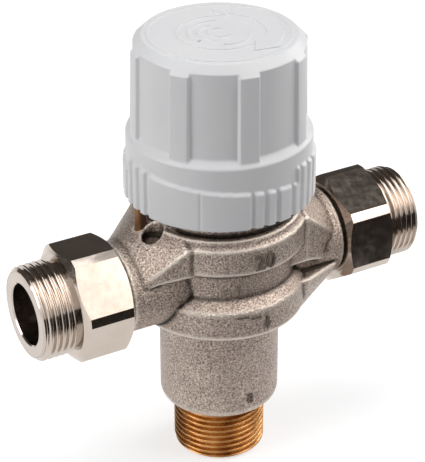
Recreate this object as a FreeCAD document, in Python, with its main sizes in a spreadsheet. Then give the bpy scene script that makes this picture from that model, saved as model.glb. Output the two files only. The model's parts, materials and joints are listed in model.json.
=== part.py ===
"""Thermostatic mixing valve with a white adjusting knob.

Frame: millimetres, +Z up along the knob's axis, +X along the pipe run towards the
cold inlet (the hot inlet points along -X), -Y is the front. The origin is the
centre of the lower end face of the mixed outlet, which the valve stands on.
"""
import FreeCAD, Part
import math
import os
import Sketcher
import PartDesign

doc = FreeCAD.newDocument("MixingValve")
sheet = doc.addObject("Spreadsheet::Sheet", "Sizes")

# --------------------------------------------------------------------------
# Driving sizes: alias, value in millimetres or degrees, what it is
# --------------------------------------------------------------------------
SIZES = [
    # fits shared by many pieces
    ("fit_fixed", 0.03, "radial clearance of pieces screwed or pressed together"),
    ("fit_slide", 0.05, "radial clearance of pieces that turn or slide"),
    ("fit_seal", 0.04, "clearance of a sealing ring in its groove, each side"),
    # outlet nipple (raw brass, turned)
    ("outlet_thread_rad", 13.22, "outer radius of the G 3/4 outlet thread"),
    ("outlet_thread_len", 16.0, "length of the outlet thread"),
    ("outlet_end_chamfer", 0.8, "chamfer on the outlet's end"),
    ("outlet_collar_rad", 13.9, "plain collar above the thread"),
    ("outlet_collar_len", 1.45, "height of that collar"),
    ("outlet_bore_rad", 9.5, "bore of the outlet nipple"),
    ("outlet_spigot_rad", 12.0, "spigot of the nipple inside the body"),
    ("outlet_spigot_len", 8.0, "length of that spigot"),
    ("outlet_ring_wire", 0.9, "section radius of the nipple's sealing ring"),
    ("outlet_ring_rise", 3.6, "height of the sealing ring above the collar"),
    # cast body, outside
    ("cast_round", 0.9, "rounded outer edges of the casting"),
    ("lower_barrel_rad", 17.1, "lower barrel"),
    ("lower_barrel_round", 1.6, "rounding at the foot of the lower barrel"),
    ("lower_barrel_len", 27.6, "lower barrel, up to the lower drum"),
    ("lower_drum_under", 2.9, "slope under the lower drum"),
    ("lower_drum_rad", 24.1, "lower drum"),
    ("lower_drum_len", 8.6, "lower drum, lower edge to ledge"),
    ("ledge_lip", 0.6, "rounded edge of the ledge"),
    ("ledge_len", 2.55, "height of the sloping ledge"),
    ("waist_rad", 21.0, "waist between the drums"),
    ("waist_len", 7.7, "height of the waist"),
    ("axis_rise", 0.9, "pipe axis above the foot of the waist"),
    ("upper_drum_under", 0.7, "slope under the upper drum"),
    ("upper_drum_rad", 24.0, "upper drum"),
    ("upper_drum_len", 8.3, "height of the upper drum"),
    ("rim_chamfer", 1.3, "width of the slope on the upper drum"),
    ("rim_chamfer_len", 1.2, "height of that slope"),
    ("rim_step_rad", 22.4, "stepped rim on the upper drum"),
    ("rim_step_len", 1.3, "height of the stepped rim"),
    ("neck_rad", 20.0, "neck above the stepped rim"),
    ("neck_len", 2.55, "height of the neck"),
    # side branches
    ("branch_reach", 33.4, "pipe branch end, from the knob axis"),
    ("branch_tuck", 13.0, "inner end of the branch shapes inside the drums"),
    ("branch_rad", 13.3, "branch pipe, upper half"),
    ("branch_depth", 12.2, "branch pipe, lower half"),
    ("branch_sink", 0.05, "how far roof and web are sunk into the pipe at its end"),
    ("roof_inset", 3.0, "where the roof begins on the pipe, in from its end"),
    ("roof_crease_angle", 27.0, "roof's crease where it begins, above level"),
    ("roof_root", 19.0, "where the roof meets the drum, from the knob axis"),
    ("roof_half", 16.25, "half width of the roof at the drum"),
    ("roof_crease_rise", 15.7, "crease of the roof above the pipe axis at the drum"),
    ("roof_arch", 4.2, "ridge of the roof above its creases at the drum"),
    ("hot_wall_end", 5.0, "foot of the hot side wall above the pipe axis, at its end"),
    ("hot_wall_root", 7.3, "foot of the hot side wall above the pipe axis, at the drum"),
    ("cold_wall_end", 2.4, "foot of the cold side wall below the pipe axis, at its end"),
    ("cold_wall_root", 1.7, "foot of the cold side wall above the pipe axis, at the drum"),
    # trough under the cold branch
    ("web_start_angle", 25.0, "angle below the pipe's axis where the web leaves it"),
    ("web_flatness", 1.15, "flatness of the web's underside against an ellipse"),
    ("web_mid_inset", 3.4, "middle section of the trough, in from the pipe's end"),
    ("web_mid_half", 13.8, "half width of the middle section"),
    ("web_mid_depth", 14.2, "depth of the middle section below the pipe axis"),
    ("web_root_reach", 19.5, "section of the trough at the drum, from the knob axis"),
    ("web_root_half", 17.3, "half width of that section"),
    ("web_root_depth", 22.5, "depth of that section below the pipe axis"),
    # cast body, inside
    ("chamber_lip_rad", 10.4, "cold seat lip"),
    ("chamber_lip_len", 3.0, "thickness of the cold seat lip"),
    ("cold_seat_drop", 12.6, "cold seat below the pipe axis"),
    ("annulus_rad", 16.0, "ring channels round the shuttle"),
    ("land_half", 4.0, "half height of the land between the ring channels"),
    ("shuttle_rad", 12.0, "outer radius of the shuttle"),
    ("hot_seat_rise", 11.9, "hot seat, the bonnet's lower face, above the pipe axis"),
    ("bonnet_rad", 16.45, "bonnet inside the body"),
    ("inlet_bore_rad", 8.55, "bore of the connectors"),
    ("inlet_bore_stop", 19.0, "inner end of the side bores, from the knob axis"),
    ("inlet_slot_half", 6.4, "half width of the ways into the ring channels"),
    ("inlet_slot_height", 4.3, "height of those ways"),
    # connectors
    ("gasket_thick", 0.7, "flat gasket between body and connector"),
    ("gasket_rad", 11.9, "outer radius of the flat gasket"),
    ("spigot_rad", 10.1, "connector spigot inside the branch"),
    ("spigot_len", 8.0, "length of the connector spigot"),
    ("hex_flats", 30.0, "hexagon across flats"),
    ("hex_round_rad", 16.6, "radius that the hexagon's corners are turned to"),
    ("hex_len", 15.2, "length of the hexagon"),
    ("hex_chamfer_rad", 14.3, "foot radius of the hexagon's end chamfers"),
    ("hex_chamfer_len", 1.35, "length of the hexagon's end chamfers"),
    ("inlet_thread_rad", 13.22, "outer radius of the G 3/4 inlet threads"),
    ("inlet_thread_len", 10.5, "length of the inlet threads"),
    ("inlet_relief_rad", 11.9, "thread relief beside the hexagon"),
    ("inlet_relief_len", 1.3, "length of that relief"),
    ("inlet_end_chamfer", 0.9, "chamfer on the inlet ends"),
    ("hot_hex_turn", 22.5, "rest angle of the hot connector's hexagon"),
    ("cold_hex_turn", 55.0, "rest angle of the cold connector's hexagon"),
    # inlet strainer and check cartridge
    ("check_start", 25.2, "inner end of the check cartridge, from the knob axis"),
    ("check_len", 13.0, "length of the check cartridge"),
    ("check_wall", 1.4, "wall of the check cartridge"),
    ("check_seat_rad", 4.7, "throat of the check valve"),
    ("check_seat_thick", 1.8, "thickness of the check valve's seat"),
    ("check_guide_thick", 2.4, "thickness of the poppet's guide"),
    ("check_arm_width", 1.4, "arms of the guide"),
    ("check_hub_rad", 2.5, "hub of the guide"),
    ("poppet_rad", 6.0, "disc of the check poppet"),
    ("poppet_thick", 1.4, "thickness of the poppet's disc"),
    ("poppet_stem_rad", 1.2, "stem of the poppet"),
    ("poppet_seal_thick", 0.5, "rubber face of the poppet"),
    ("poppet_seal_rad", 5.7, "outer radius of that face"),
    ("poppet_seal_bore", 3.2, "inner radius of that face"),
    ("check_spring_rad", 3.4, "middle radius of the check spring"),
    ("check_spring_wire", 0.35, "half wire of the check spring"),
    ("check_spring_turns", 3.0, "turns of the check spring"),
    ("strainer_len", 5.2, "length of the strainer basket"),
    ("strainer_rim", 1.0, "thickness of the strainer's rim"),
    ("strainer_rad", 6.6, "outer radius of the basket"),
    ("strainer_wall", 0.7, "wall of the basket"),
    ("strainer_slot", 1.1, "slots in the basket"),
    ("strainer_slots", 10.0, "number of slots"),
    # bonnet
    ("bonnet_flange_rad", 19.4, "bonnet flange on the body's neck"),
    ("bonnet_flange_len", 3.4, "thickness of that flange"),
    ("bonnet_stem_rad", 11.0, "bonnet stem"),
    ("bonnet_stem_len", 13.6, "length of that stem"),
    ("bonnet_roof_rise", 3.15, "roof of the bonnet's cavity above its flange"),
    ("bonnet_ring_wire", 1.0, "section radius of the bonnet's sealing ring"),
    ("bonnet_ring_rise", 4.3, "height of that ring above the hot seat"),
    # spindle
    ("spindle_rad", 6.0, "spindle in the bonnet"),
    ("spindle_flange_rad", 8.3, "thrust flange"),
    ("spindle_flange_len", 1.5, "thickness of the thrust flange"),
    ("spindle_screw_rad", 4.0, "driving screw under the flange"),
    ("spindle_screw_len", 11.0, "length of the driving screw"),
    ("spindle_head_flats", 9.6, "hexagonal head across flats"),
    ("spindle_head_len", 13.4, "length of the head"),
    ("spindle_ring_wire", 0.6, "section radius of the spindle's sealing rings"),
    ("spindle_ring_low", 2.6, "lower sealing ring above the roof"),
    ("spindle_ring_high", 6.8, "upper sealing ring above the roof"),
    ("clip_thick", 0.8, "thickness of the spindle clip"),
    ("clip_rad", 8.2, "outer radius of the spindle clip"),
    ("clip_bore", 4.9, "inner radius of the spindle clip"),
    ("clip_gap_half", 2.1, "half gap of the spindle clip"),
    ("snap_rise", 9.5, "snap ring above the foot of the hub"),
    ("snap_wire", 0.5, "section radius of the snap ring"),
    ("snap_mid_rad", 5.55, "middle radius of the snap ring"),
    ("snap_bend", 330.0, "how far the snap ring reaches round"),
    # carrier and overload spring
    ("carrier_rad", 8.5, "carrier in the bonnet"),
    ("carrier_drop", 4.0, "lower end of the carrier below the hot seat"),
    ("carrier_top_gap", 1.5, "room between carrier and thrust flange"),
    ("carrier_web_len", 5.0, "threaded web of the carrier"),
    ("carrier_wall", 1.5, "wall of the carrier"),
    ("carrier_key_reach", 9.9, "keys of the carrier, from the axis"),
    ("carrier_key_width", 2.2, "width of the keys"),
    ("carrier_key_len", 8.0, "length of the keys"),
    ("carrier_key_rise", 6.5, "foot of the keys above the carrier's end"),
    ("overload_clip_rise", 0.5, "clip groove above the carrier's end"),
    ("overload_clip_thick", 1.0, "thickness of the overload clip"),
    ("overload_clip_bore", 5.4, "inner radius of the overload clip"),
    ("overload_clip_bite", 0.6, "how far the clip reaches into its groove"),
    ("overload_plate_thick", 1.5, "thickness of the overload plate"),
    ("overload_spring_rad", 5.7, "middle radius of the overload spring"),
    ("overload_spring_wire", 0.6, "half wire of the overload spring"),
    ("overload_spring_turns", 3.0, "turns of the overload spring"),
    # sensing capsule and shuttle
    ("seat_gap", 1.6, "open height at each seat in the middle position"),
    ("shuttle_wall", 2.4, "wall of the shuttle"),
    ("shuttle_flare", 1.0, "widening of the shuttle's upper bore"),
    ("shuttle_flare_len", 7.9, "length of that widened bore"),
    ("shuttle_ring_wire", 0.85, "section radius of the shuttle's sealing ring"),
    ("spider_rise", 2.4, "underside of the spider above the shuttle's lower end"),
    ("spider_thick", 3.0, "thickness of the spider"),
    ("spider_hub_rad", 6.4, "hub of the spider"),
    ("spider_arm_width", 2.2, "arms of the spider"),
    ("capsule_rad", 4.0, "sensing capsule"),
    ("capsule_drop", 20.0, "lower end of the capsule below the spider"),
    ("capsule_flange_rad", 6.0, "flange of the capsule"),
    ("capsule_flange_len", 2.5, "thickness of that flange"),
    ("capsule_neck_rad", 3.0, "neck of the capsule"),
    ("capsule_neck_len", 6.5, "length of the neck"),
    ("pin_rad", 1.45, "pushing pin of the capsule"),
    ("pin_depth", 5.0, "pin inside the neck"),
    ("spring_seat_rad", 11.9, "spring seat ring"),
    ("spring_seat_bore", 7.4, "bore of the spring seat ring"),
    ("spring_seat_thick", 1.5, "thickness of the spring seat ring"),
    ("return_spring_rad", 8.9, "middle radius of the return spring"),
    ("return_spring_wire", 0.75, "half wire of the return spring"),
    ("return_spring_turns", 5.0, "turns of the return spring"),
    # knob
    ("knob_foot_rise", 2.55, "lower edge of the knob's skirt above the body"),
    ("rib_after_ramp", 41.5, "first rib's middle after the high end of a raised panel"),
    ("skirt_rad", 25.5, "skirt and flange band"),
    ("skirt_len", 17.7, "height of the skirt and flange band"),
    ("shoulder_len", 1.7, "height of the sloping shoulder"),
    ("cap_foot_rad", 23.4, "panels between the ribs, at their foot"),
    ("cap_top_rad", 22.95, "panels between the ribs, at their top"),
    ("cap_len", 26.3, "height of the ribbed cap above the shoulder"),
    ("cap_round", 1.8, "rounded rim of the top face"),
    ("rib_foot_rad", 24.6, "ribs at their foot"),
    ("rib_top_rad", 23.95, "ribs at their top"),
    ("rib_angle", 13.3, "width of a rib"),
    ("rib_count", 8.0, "number of ribs"),
    ("rib_top_drop", 3.4, "outer corner of a rib's top below the top face"),
    ("ramp_rad", 26.35, "raised panels of the skirt"),
    ("ramp_high_len", 13.6, "height of a raised panel, high end"),
    ("ramp_low_len", 9.2, "height of a raised panel, low end"),
    ("ramp_count", 3.0, "number of raised panels"),
    ("ramp_start", 172.5, "high end of one raised panel, angle from +X"),
    ("groove_width", 1.25, "upright grip grooves"),
    ("groove_depth", 0.85, "depth of the grip grooves"),
    ("groove_step", 8.1, "angle between grip grooves"),
    ("groove_first", 4.0, "first groove after the high end"),
    ("groove_next", 87.6, "first groove of the second group"),
    ("index_angle", 56.5, "index line after the high end"),
    ("index_width", 0.4, "width of the index line"),
    ("index_depth", 0.3, "depth of the index line"),
    ("knob_wall", 2.0, "wall of the knob's cap"),
    ("skirt_wall", 2.2, "wall of the skirt"),
    ("knob_roof", 2.4, "thickness of the knob's top"),
    ("hub_rad", 9.0, "hub of the knob"),
    ("hub_gap", 1.3, "hub above the bonnet's stem"),
    ("hub_web", 1.6, "stiffening webs of the hub"),
    ("hub_web_len", 17.3, "height of the stiffening webs"),
    # locking pin beside the knob
    ("lock_pin_rad", 1.6, "locking pin"),
    ("lock_pin_place", 24.3, "locking pin from the knob axis"),
    ("lock_pin_angle", 178.0, "locking pin, angle from +X"),
    ("lock_pin_gap", 0.5, "pin's end under the skirt"),
    ("lock_pin_len", 9.0, "length of the locking pin"),
    ("notch_rad", 3.0, "notch beside the locking pin"),
    ("notch_place", 23.4, "notch from the knob axis"),
    ("notch_angle", 190.0, "notch, angle from +X"),
    ("notch_depth", 6.4, "floor of the notch below the body's top"),
]

# --------------------------------------------------------------------------
# A named size: its number, and the expression that binds a property to it
# --------------------------------------------------------------------------


class Size:
    def __init__(self, value, text):
        self.value = float(value)
        self.text = text

    def _join(self, other, sign, flip=False):
        other = as_size(other)
        a, b = (other, self) if flip else (self, other)
        value = {"+": a.value + b.value, "-": a.value - b.value,
                 "*": a.value * b.value,
                 "/": a.value / b.value if b.value else 0.0}[sign]
        return Size(value, "(%s %s %s)" % (a.text, sign, b.text))

    def __add__(self, other):
        return self._join(other, "+")

    def __radd__(self, other):
        return self._join(other, "+", True)

    def __sub__(self, other):
        return self._join(other, "-")

    def __rsub__(self, other):
        return self._join(other, "-", True)

    def __mul__(self, other):
        return self._join(other, "*")

    def __rmul__(self, other):
        return self._join(other, "*", True)

    def __truediv__(self, other):
        return self._join(other, "/")

    def __rtruediv__(self, other):
        return self._join(other, "/", True)

    def __neg__(self):
        return Size(-self.value, "(0 - %s)" % self.text)


def as_size(number):
    if isinstance(number, Size):
        return number
    return Size(number, "%.9g" % number if number >= 0 else "(0 - %.9g)" % -number)


def cosd(angle):
    angle = as_size(angle)
    return Size(math.cos(math.radians(angle.value)), "cos(%s * 1 deg)" % angle.text)


def sind(angle):
    angle = as_size(angle)
    return Size(math.sin(math.radians(angle.value)), "sin(%s * 1 deg)" % angle.text)


S = {}
for row, (alias, value, note) in enumerate(SIZES, 1):
    sheet.set("A%d" % row, alias)
    sheet.set("B%d" % row, "%g" % value)
    sheet.set("C%d" % row, note)
    sheet.setAlias("B%d" % row, alias)
    S[alias] = Size(value, "Sizes." + alias)
doc.recompute()


class Names:
    pass


d = Names()
for alias in S:
    setattr(d, alias, S[alias])


def bind(obj, prop, size):
    """Set a property of an object to a size, number first, then the expression."""
    size = as_size(size)
    try:
        setattr(obj, prop, size.value)
    except Exception:
        pass
    obj.setExpression(prop, size.text)


# --------------------------------------------------------------------------
# Sketch helpers: every corner is held by its two distances from the origin
# --------------------------------------------------------------------------
def hold(sketch, geo, pos, x, y):
    x, y = as_size(x), as_size(y)
    for kind, size in (("DistanceX", x), ("DistanceY", y)):
        if abs(size.value) < 1e-9 and "Sizes" not in size.text:
            axis = -2 if kind == "DistanceX" else -1
            sketch.addConstraint(Sketcher.Constraint("PointOnObject", geo, pos, axis))
            continue
        index = sketch.addConstraint(
            Sketcher.Constraint(kind, -1, 1, geo, pos, size.value))
        if "Sizes" in size.text:
            sketch.setExpression("Constraints[%d]" % index, size.text)


def arc_between(a, b, radius, left):
    """Minor arc from a to b; left: its centre lies to the left of a -> b."""
    ax, ay = a
    bx, by = b
    mx, my = (ax + bx) / 2, (ay + by) / 2
    dx, dy = bx - ax, by - ay
    chord = math.hypot(dx, dy)
    rise = math.sqrt(max(radius * radius - chord * chord / 4, 1e-9))
    nx, ny = -dy / chord, dx / chord
    side = 1 if left else -1
    cx, cy = mx + nx * rise * side, my + ny * rise * side
    start = math.atan2(ay - cy, ax - cx)
    end = math.atan2(by - cy, bx - cx)
    if left:
        return cx, cy, start, end, False
    return cx, cy, end, start, True


def outline(sketch, corners, arcs=None):
    """Closed loop through the corners. arcs: {side: (radius, left)}."""
    arcs = arcs or {}
    count = len(corners)
    points = [(as_size(x).value, as_size(y).value) for x, y in corners]
    ends = []
    for i in range(count):
        a, b = points[i], points[(i + 1) % count]
        if i in arcs:
            radius, left = arcs[i]
            radius = as_size(radius)
            cx, cy, start, end, swapped = arc_between(a, b, radius.value, left)
            circle = Part.Circle(FreeCAD.Vector(cx, cy, 0), FreeCAD.Vector(0, 0, 1),
                                 radius.value)
            if end < start:
                end += 2 * math.pi
            geo = sketch.addGeometry(Part.ArcOfCircle(circle, start, end), False)
            ends.append((geo, 2 if swapped else 1, 1 if swapped else 2))
        else:
            geo = sketch.addGeometry(Part.LineSegment(
                FreeCAD.Vector(a[0], a[1], 0), FreeCAD.Vector(b[0], b[1], 0)), False)
            ends.append((geo, 1, 2))
    for i in range(count):
        geo, _, last = ends[i]
        nxt, first, _ = ends[(i + 1) % count]
        sketch.addConstraint(Sketcher.Constraint("Coincident", geo, last, nxt, first))
    for i in range(count):
        geo, first, _ = ends[i]
        hold(sketch, geo, first, *corners[i])
    for i, (radius, left) in arcs.items():
        radius = as_size(radius)
        index = sketch.addConstraint(
            Sketcher.Constraint("Radius", ends[i][0], radius.value))
        if "Sizes" in radius.text:
            sketch.setExpression("Constraints[%d]" % index, radius.text)


def ring(sketch, x, y, radius):
    radius = as_size(radius)
    geo = sketch.addGeometry(Part.Circle(
        FreeCAD.Vector(as_size(x).value, as_size(y).value, 0),
        FreeCAD.Vector(0, 0, 1), radius.value), False)
    hold(sketch, geo, 3, x, y)
    index = sketch.addConstraint(Sketcher.Constraint("Radius", geo, radius.value))
    if "Sizes" in radius.text:
        sketch.setExpression("Constraints[%d]" % index, radius.text)


NODES = []


def new_body(label):
    body = doc.addObject("PartDesign::Body", label)
    body.Label = label
    NODES.append(body)
    return body


def plane(body, role):
    for feature in body.Origin.OriginFeatures:
        if feature.Role == role:
            return feature
    raise RuntimeError("no " + role)


def new_sketch(body, name, role, offset=None, turn=None):
    """Sketch on an origin plane, moved along its normal or turned about its V axis."""
    sketch = body.newObject("Sketcher::SketchObject", name)
    sketch.AttachmentSupport = [(plane(body, role), "")]
    sketch.MapMode = "FlatFace"
    if turn is not None:
        turn = as_size(turn)
        sketch.AttachmentOffset = FreeCAD.Placement(
            FreeCAD.Vector(0, 0, 0),
            FreeCAD.Rotation(FreeCAD.Vector(0, 1, 0), turn.value))
        sketch.setExpression("AttachmentOffset.Rotation.Angle", turn.text)
    if offset is not None:
        offset = as_size(offset)
        sketch.AttachmentOffset = FreeCAD.Placement(
            FreeCAD.Vector(0, 0, offset.value), FreeCAD.Rotation())
        if "Sizes" in offset.text:
            sketch.setExpression("AttachmentOffset.Base.z", offset.text)
    return sketch


def revolve(body, name, corners, arcs=None, cut=False, angle=None, turn=None):
    """Turn a half section (radius, height) round the body's Z axis."""
    sketch = new_sketch(body, name + "_section", "XZ_Plane", turn=turn)
    outline(sketch, corners, arcs)
    kind = "PartDesign::Groove" if cut else "PartDesign::Revolution"
    feature = body.newObject(kind, name)
    feature.Profile = sketch
    feature.ReferenceAxis = (sketch, ["V_Axis"])
    if angle is None:
        feature.Angle = 360.0
    else:
        bind(feature, "Angle", angle)
        feature.Midplane = True
    return feature


def rectangle(x0, y0, x1, y1):
    return [(x0, y0), (x1, y0), (x1, y1), (x0, y1)]


def pad(body, name, sketch, length, both=False, reverse=False):
    feature = body.newObject("PartDesign::Pad", name)
    feature.Profile = sketch
    bind(feature, "Length", length)
    feature.Midplane = both
    feature.Reversed = reverse
    return feature


def pocket(body, name, sketch, length, both=False, reverse=False):
    doc.recompute()
    feature = body.newObject("PartDesign::Pocket", name)
    feature.Profile = sketch
    bind(feature, "Length", length)
    feature.Midplane = both
    feature.Reversed = reverse
    return feature


def around(body, name, originals, count, angle=360.0):
    """Repeat features round the body's Z axis."""
    doc.recompute()
    feature = body.newObject("PartDesign::PolarPattern", name)
    feature.Originals = originals
    feature.Axis = (plane(body, "Z_Axis"), [""])
    feature.Angle = angle
    count = as_size(count)
    feature.Occurrences = int(round(count.value))
    if "Sizes" in count.text:
        feature.setExpression("Occurrences", count.text)
    body.Tip = feature
    return feature


def seat(obj, x=None, y=None, z=None, axis=(0, 0, 1), angle=None):
    """Give a piece its place in the valve."""
    turn = as_size(angle if angle is not None else 0)
    spots = [as_size(v if v is not None else 0) for v in (x, y, z)]
    obj.Placement = FreeCAD.Placement(
        FreeCAD.Vector(*[s.value for s in spots]),
        FreeCAD.Rotation(FreeCAD.Vector(*axis), turn.value))
    for letter, spot in zip("xyz", spots):
        if "Sizes" in spot.text:
            obj.setExpression("Placement.Base." + letter, spot.text)
    if "Sizes" in turn.text:
        obj.setExpression("Placement.Rotation.Angle", turn.text)


def cord_section(radius, height, wire):
    """Section of a round cord that is pressed flat where it touches: an octagon."""
    flat = wire * math.tan(math.radians(22.5))
    return [(radius + wire, height - flat), (radius + wire, height + flat),
            (radius + flat, height + wire), (radius - flat, height + wire),
            (radius - wire, height + flat), (radius - wire, height - flat),
            (radius - flat, height - wire), (radius + flat, height - wire)]


def sealing_ring(label, radius, wire, height):
    """Rubber ring in its groove."""
    piece = new_body(label)
    revolve(piece, "moulded", cord_section(radius, height, wire))
    seat(piece)
    return piece


def coil(label, radius, wire, low, high, turns):
    """Compression spring, its wire's middle on a helix between the two seats."""
    radius, wire = as_size(radius), as_size(wire)
    low, high, turns = as_size(low), as_size(high), as_size(turns)
    # the wire's ends stay clear of the seats by the sealing clearance
    gap = d.fit_seal
    rise = high - low - wire * 2 - gap * 2
    pitch = rise / turns
    helix = Part.makeHelix(pitch.value, rise.value, radius.value)
    side = wire.value
    corners = [FreeCAD.Vector(radius.value + side * math.cos(a), 0,
                              side * math.sin(a))
               for a in [math.radians(45 + 90 * k) for k in range(4)]]
    square = Part.makePolygon(corners + [corners[0]])
    wire_solid = Part.Wire(helix).makePipeShell([square], True, True)
    piece = doc.addObject("Part::Feature", label)
    piece.Label = label
    piece.Shape = wire_solid
    seat(piece, z=low + wire + gap)
    NODES.append(piece)
    return piece


# --------------------------------------------------------------------------
# Heights that several pieces share
# --------------------------------------------------------------------------
body_foot = d.outlet_thread_len + d.outlet_collar_len
drum_foot = body_foot + d.lower_barrel_len
drum_edge = drum_foot + d.lower_drum_under
ledge_foot = drum_edge + d.lower_drum_len
ledge_edge = ledge_foot + d.ledge_lip
waist_foot = ledge_edge + d.ledge_len
waist_top = waist_foot + d.waist_len
upper_foot = waist_top + d.upper_drum_under
upper_top = upper_foot + d.upper_drum_len
rim_foot = upper_top + d.rim_chamfer_len
rim_top = rim_foot + d.rim_step_len
body_top = rim_top + d.neck_len
pipe_axis = waist_foot + d.axis_rise
land_low = pipe_axis - d.land_half
land_high = pipe_axis + d.land_half
cold_seat = pipe_axis - d.cold_seat_drop
hot_seat = pipe_axis + d.hot_seat_rise
flange_top = body_top + d.bonnet_flange_len
bonnet_roof = flange_top + d.bonnet_roof_rise
knob_foot = body_top + d.knob_foot_rise
spigot_top = body_foot + d.outlet_spigot_len
outlet_bore_in_body = d.outlet_spigot_rad + d.fit_fixed
land_bore = d.shuttle_rad + d.fit_slide
bonnet_bore = d.bonnet_rad + d.fit_fixed
branch_bore = d.spigot_rad + d.fit_fixed

# ==========================================================================
# Cast body
# ==========================================================================
body = new_body("valve_body")
r, e = d.lower_barrel_round, d.cast_round
# share of a rounding left at 45 degrees, for roundings drawn with two flats
EASE = 1 - math.sqrt(0.5)
revolve(body, "barrel_and_drums", [
    (0, body_foot),
    (d.lower_barrel_rad - r, body_foot),
    (d.lower_barrel_rad - r * EASE, body_foot + r * EASE),
    (d.lower_barrel_rad, body_foot + r),
    (d.lower_barrel_rad, drum_foot),
    (d.lower_drum_rad - e, drum_edge),
    (d.lower_drum_rad, drum_edge + e),
    (d.lower_drum_rad, ledge_foot),
    (d.lower_drum_rad - d.ledge_lip / 2, ledge_edge),
    (d.waist_rad, waist_foot),
    (d.waist_rad, waist_top),
    (d.upper_drum_rad - e, upper_foot),
    (d.upper_drum_rad, upper_foot + e),
    (d.upper_drum_rad, upper_top),
    (d.upper_drum_rad - d.rim_chamfer, rim_foot),
    (d.rim_step_rad, rim_top),
    (d.neck_rad, rim_top),
    (d.neck_rad, body_top),
    (0, body_top)])


def loft(name, sketches):
    """Straight-sided loft through sections of the body."""
    feature = body.newObject("PartDesign::AdditiveLoft", name)
    feature.Profile = sketches[0]
    feature.Sections = sketches[1:]
    feature.Ruled = True
    return feature


# the lower halves are near-ellipses, drawn with two arcs a side that meet here
SHARE_OUT, SHARE_DOWN = cosd(42), sind(42)


def pipe(side, sign):
    """Branch pipe; its lower half is a little shallower than its upper half."""
    sketch = new_sketch(body, side + "_pipe_section", "YZ_Plane",
                        d.branch_reach * sign)
    rad, depth = d.branch_rad, d.branch_depth
    out, down = rad * SHARE_OUT, depth * SHARE_DOWN
    up_out, up = rad * cosd(d.roof_crease_angle), rad * sind(d.roof_crease_angle)
    outline(sketch, [
        (rad, pipe_axis), (up_out, pipe_axis + up), (-up_out, pipe_axis + up),
        (-rad, pipe_axis), (-out, pipe_axis - down), (0, pipe_axis - depth),
        (out, pipe_axis - down)],
        arcs={0: (rad, True), 1: (rad, True), 2: (rad, True), 3: (depth, True),
              4: (rad, True), 5: (rad, True), 6: (depth, True)})
    pad(body, side + "_pipe", sketch, d.branch_reach - d.branch_tuck,
        reverse=(sign > 0))


def roof(side, sign, foot_end, foot_root):
    """Gabled roof from the pipe up to the drum: side walls, creases, flat arch."""
    near = d.branch_rad - d.branch_sink
    sketches = []
    for number, (reach, half, foot, crease, arch) in enumerate([
            (d.branch_reach - d.roof_inset, near * cosd(d.roof_crease_angle), foot_end,
             near * sind(d.roof_crease_angle), None),
            (d.roof_root, d.roof_half, foot_root, d.roof_crease_rise, d.roof_arch),
            (d.branch_tuck, d.roof_half, foot_root, d.roof_crease_rise,
             d.roof_arch)]):
        sketch = new_sketch(body, "%s_roof_%d" % (side, number), "YZ_Plane",
                            reach * sign)
        crown = near if arch is None else (half * half + arch * arch) / (arch * 2)
        outline(sketch, [
            (half, pipe_axis + foot), (half, pipe_axis + crease),
            (-half, pipe_axis + crease), (-half, pipe_axis + foot)],
            arcs={1: (crown, True)})
        sketches.append(sketch)
    loft(side + "_roof", sketches)


for side, sign in (("hot", -1), ("cold", 1)):
    pipe(side, sign)
roof("hot", -1, d.hot_wall_end, d.hot_wall_root)
roof("cold", 1, -d.cold_wall_end, d.cold_wall_root)

# trough under the cold branch: it widens and deepens towards the lower drum
sketches = []
for number, (reach, half, depth) in enumerate([
        (d.branch_reach - d.branch_sink, d.branch_rad * cosd(d.web_start_angle),
         d.branch_depth - d.branch_sink),
        (d.branch_reach - d.web_mid_inset, d.web_mid_half, d.web_mid_depth),
        (d.web_root_reach, d.web_root_half, d.web_root_depth),
        (d.branch_tuck, d.web_root_half, d.web_root_depth)]):
    sketch = new_sketch(body, "trough_%d" % number, "YZ_Plane", reach)
    flank = depth * depth / half
    bottom = half * half / depth * d.web_flatness
    out, down = half * SHARE_OUT, depth * SHARE_DOWN
    outline(sketch, [
        (half, ledge_edge), (-half, ledge_edge), (-out, pipe_axis - down),
        (0, pipe_axis - depth), (out, pipe_axis - down)],
        arcs={1: (flank, True), 2: (bottom, True), 3: (bottom, True),
              4: (flank, True)})
    sketches.append(sketch)
loft("cold_trough", sketches)

# bores round the knob axis
revolve(body, "main_bores", [
    (0, body_foot - 1), (outlet_bore_in_body, body_foot - 1),
    (outlet_bore_in_body, cold_seat - d.chamber_lip_len),
    (d.chamber_lip_rad, cold_seat - d.chamber_lip_len),
    (d.chamber_lip_rad, cold_seat),
    (d.annulus_rad, cold_seat),
    (d.annulus_rad, land_low), (land_bore, land_low),
    (land_bore, land_high), (d.annulus_rad, land_high),
    (d.annulus_rad, hot_seat), (bonnet_bore, hot_seat),
    (bonnet_bore, body_top + 1), (0, body_top + 1)], cut=True)

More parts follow.
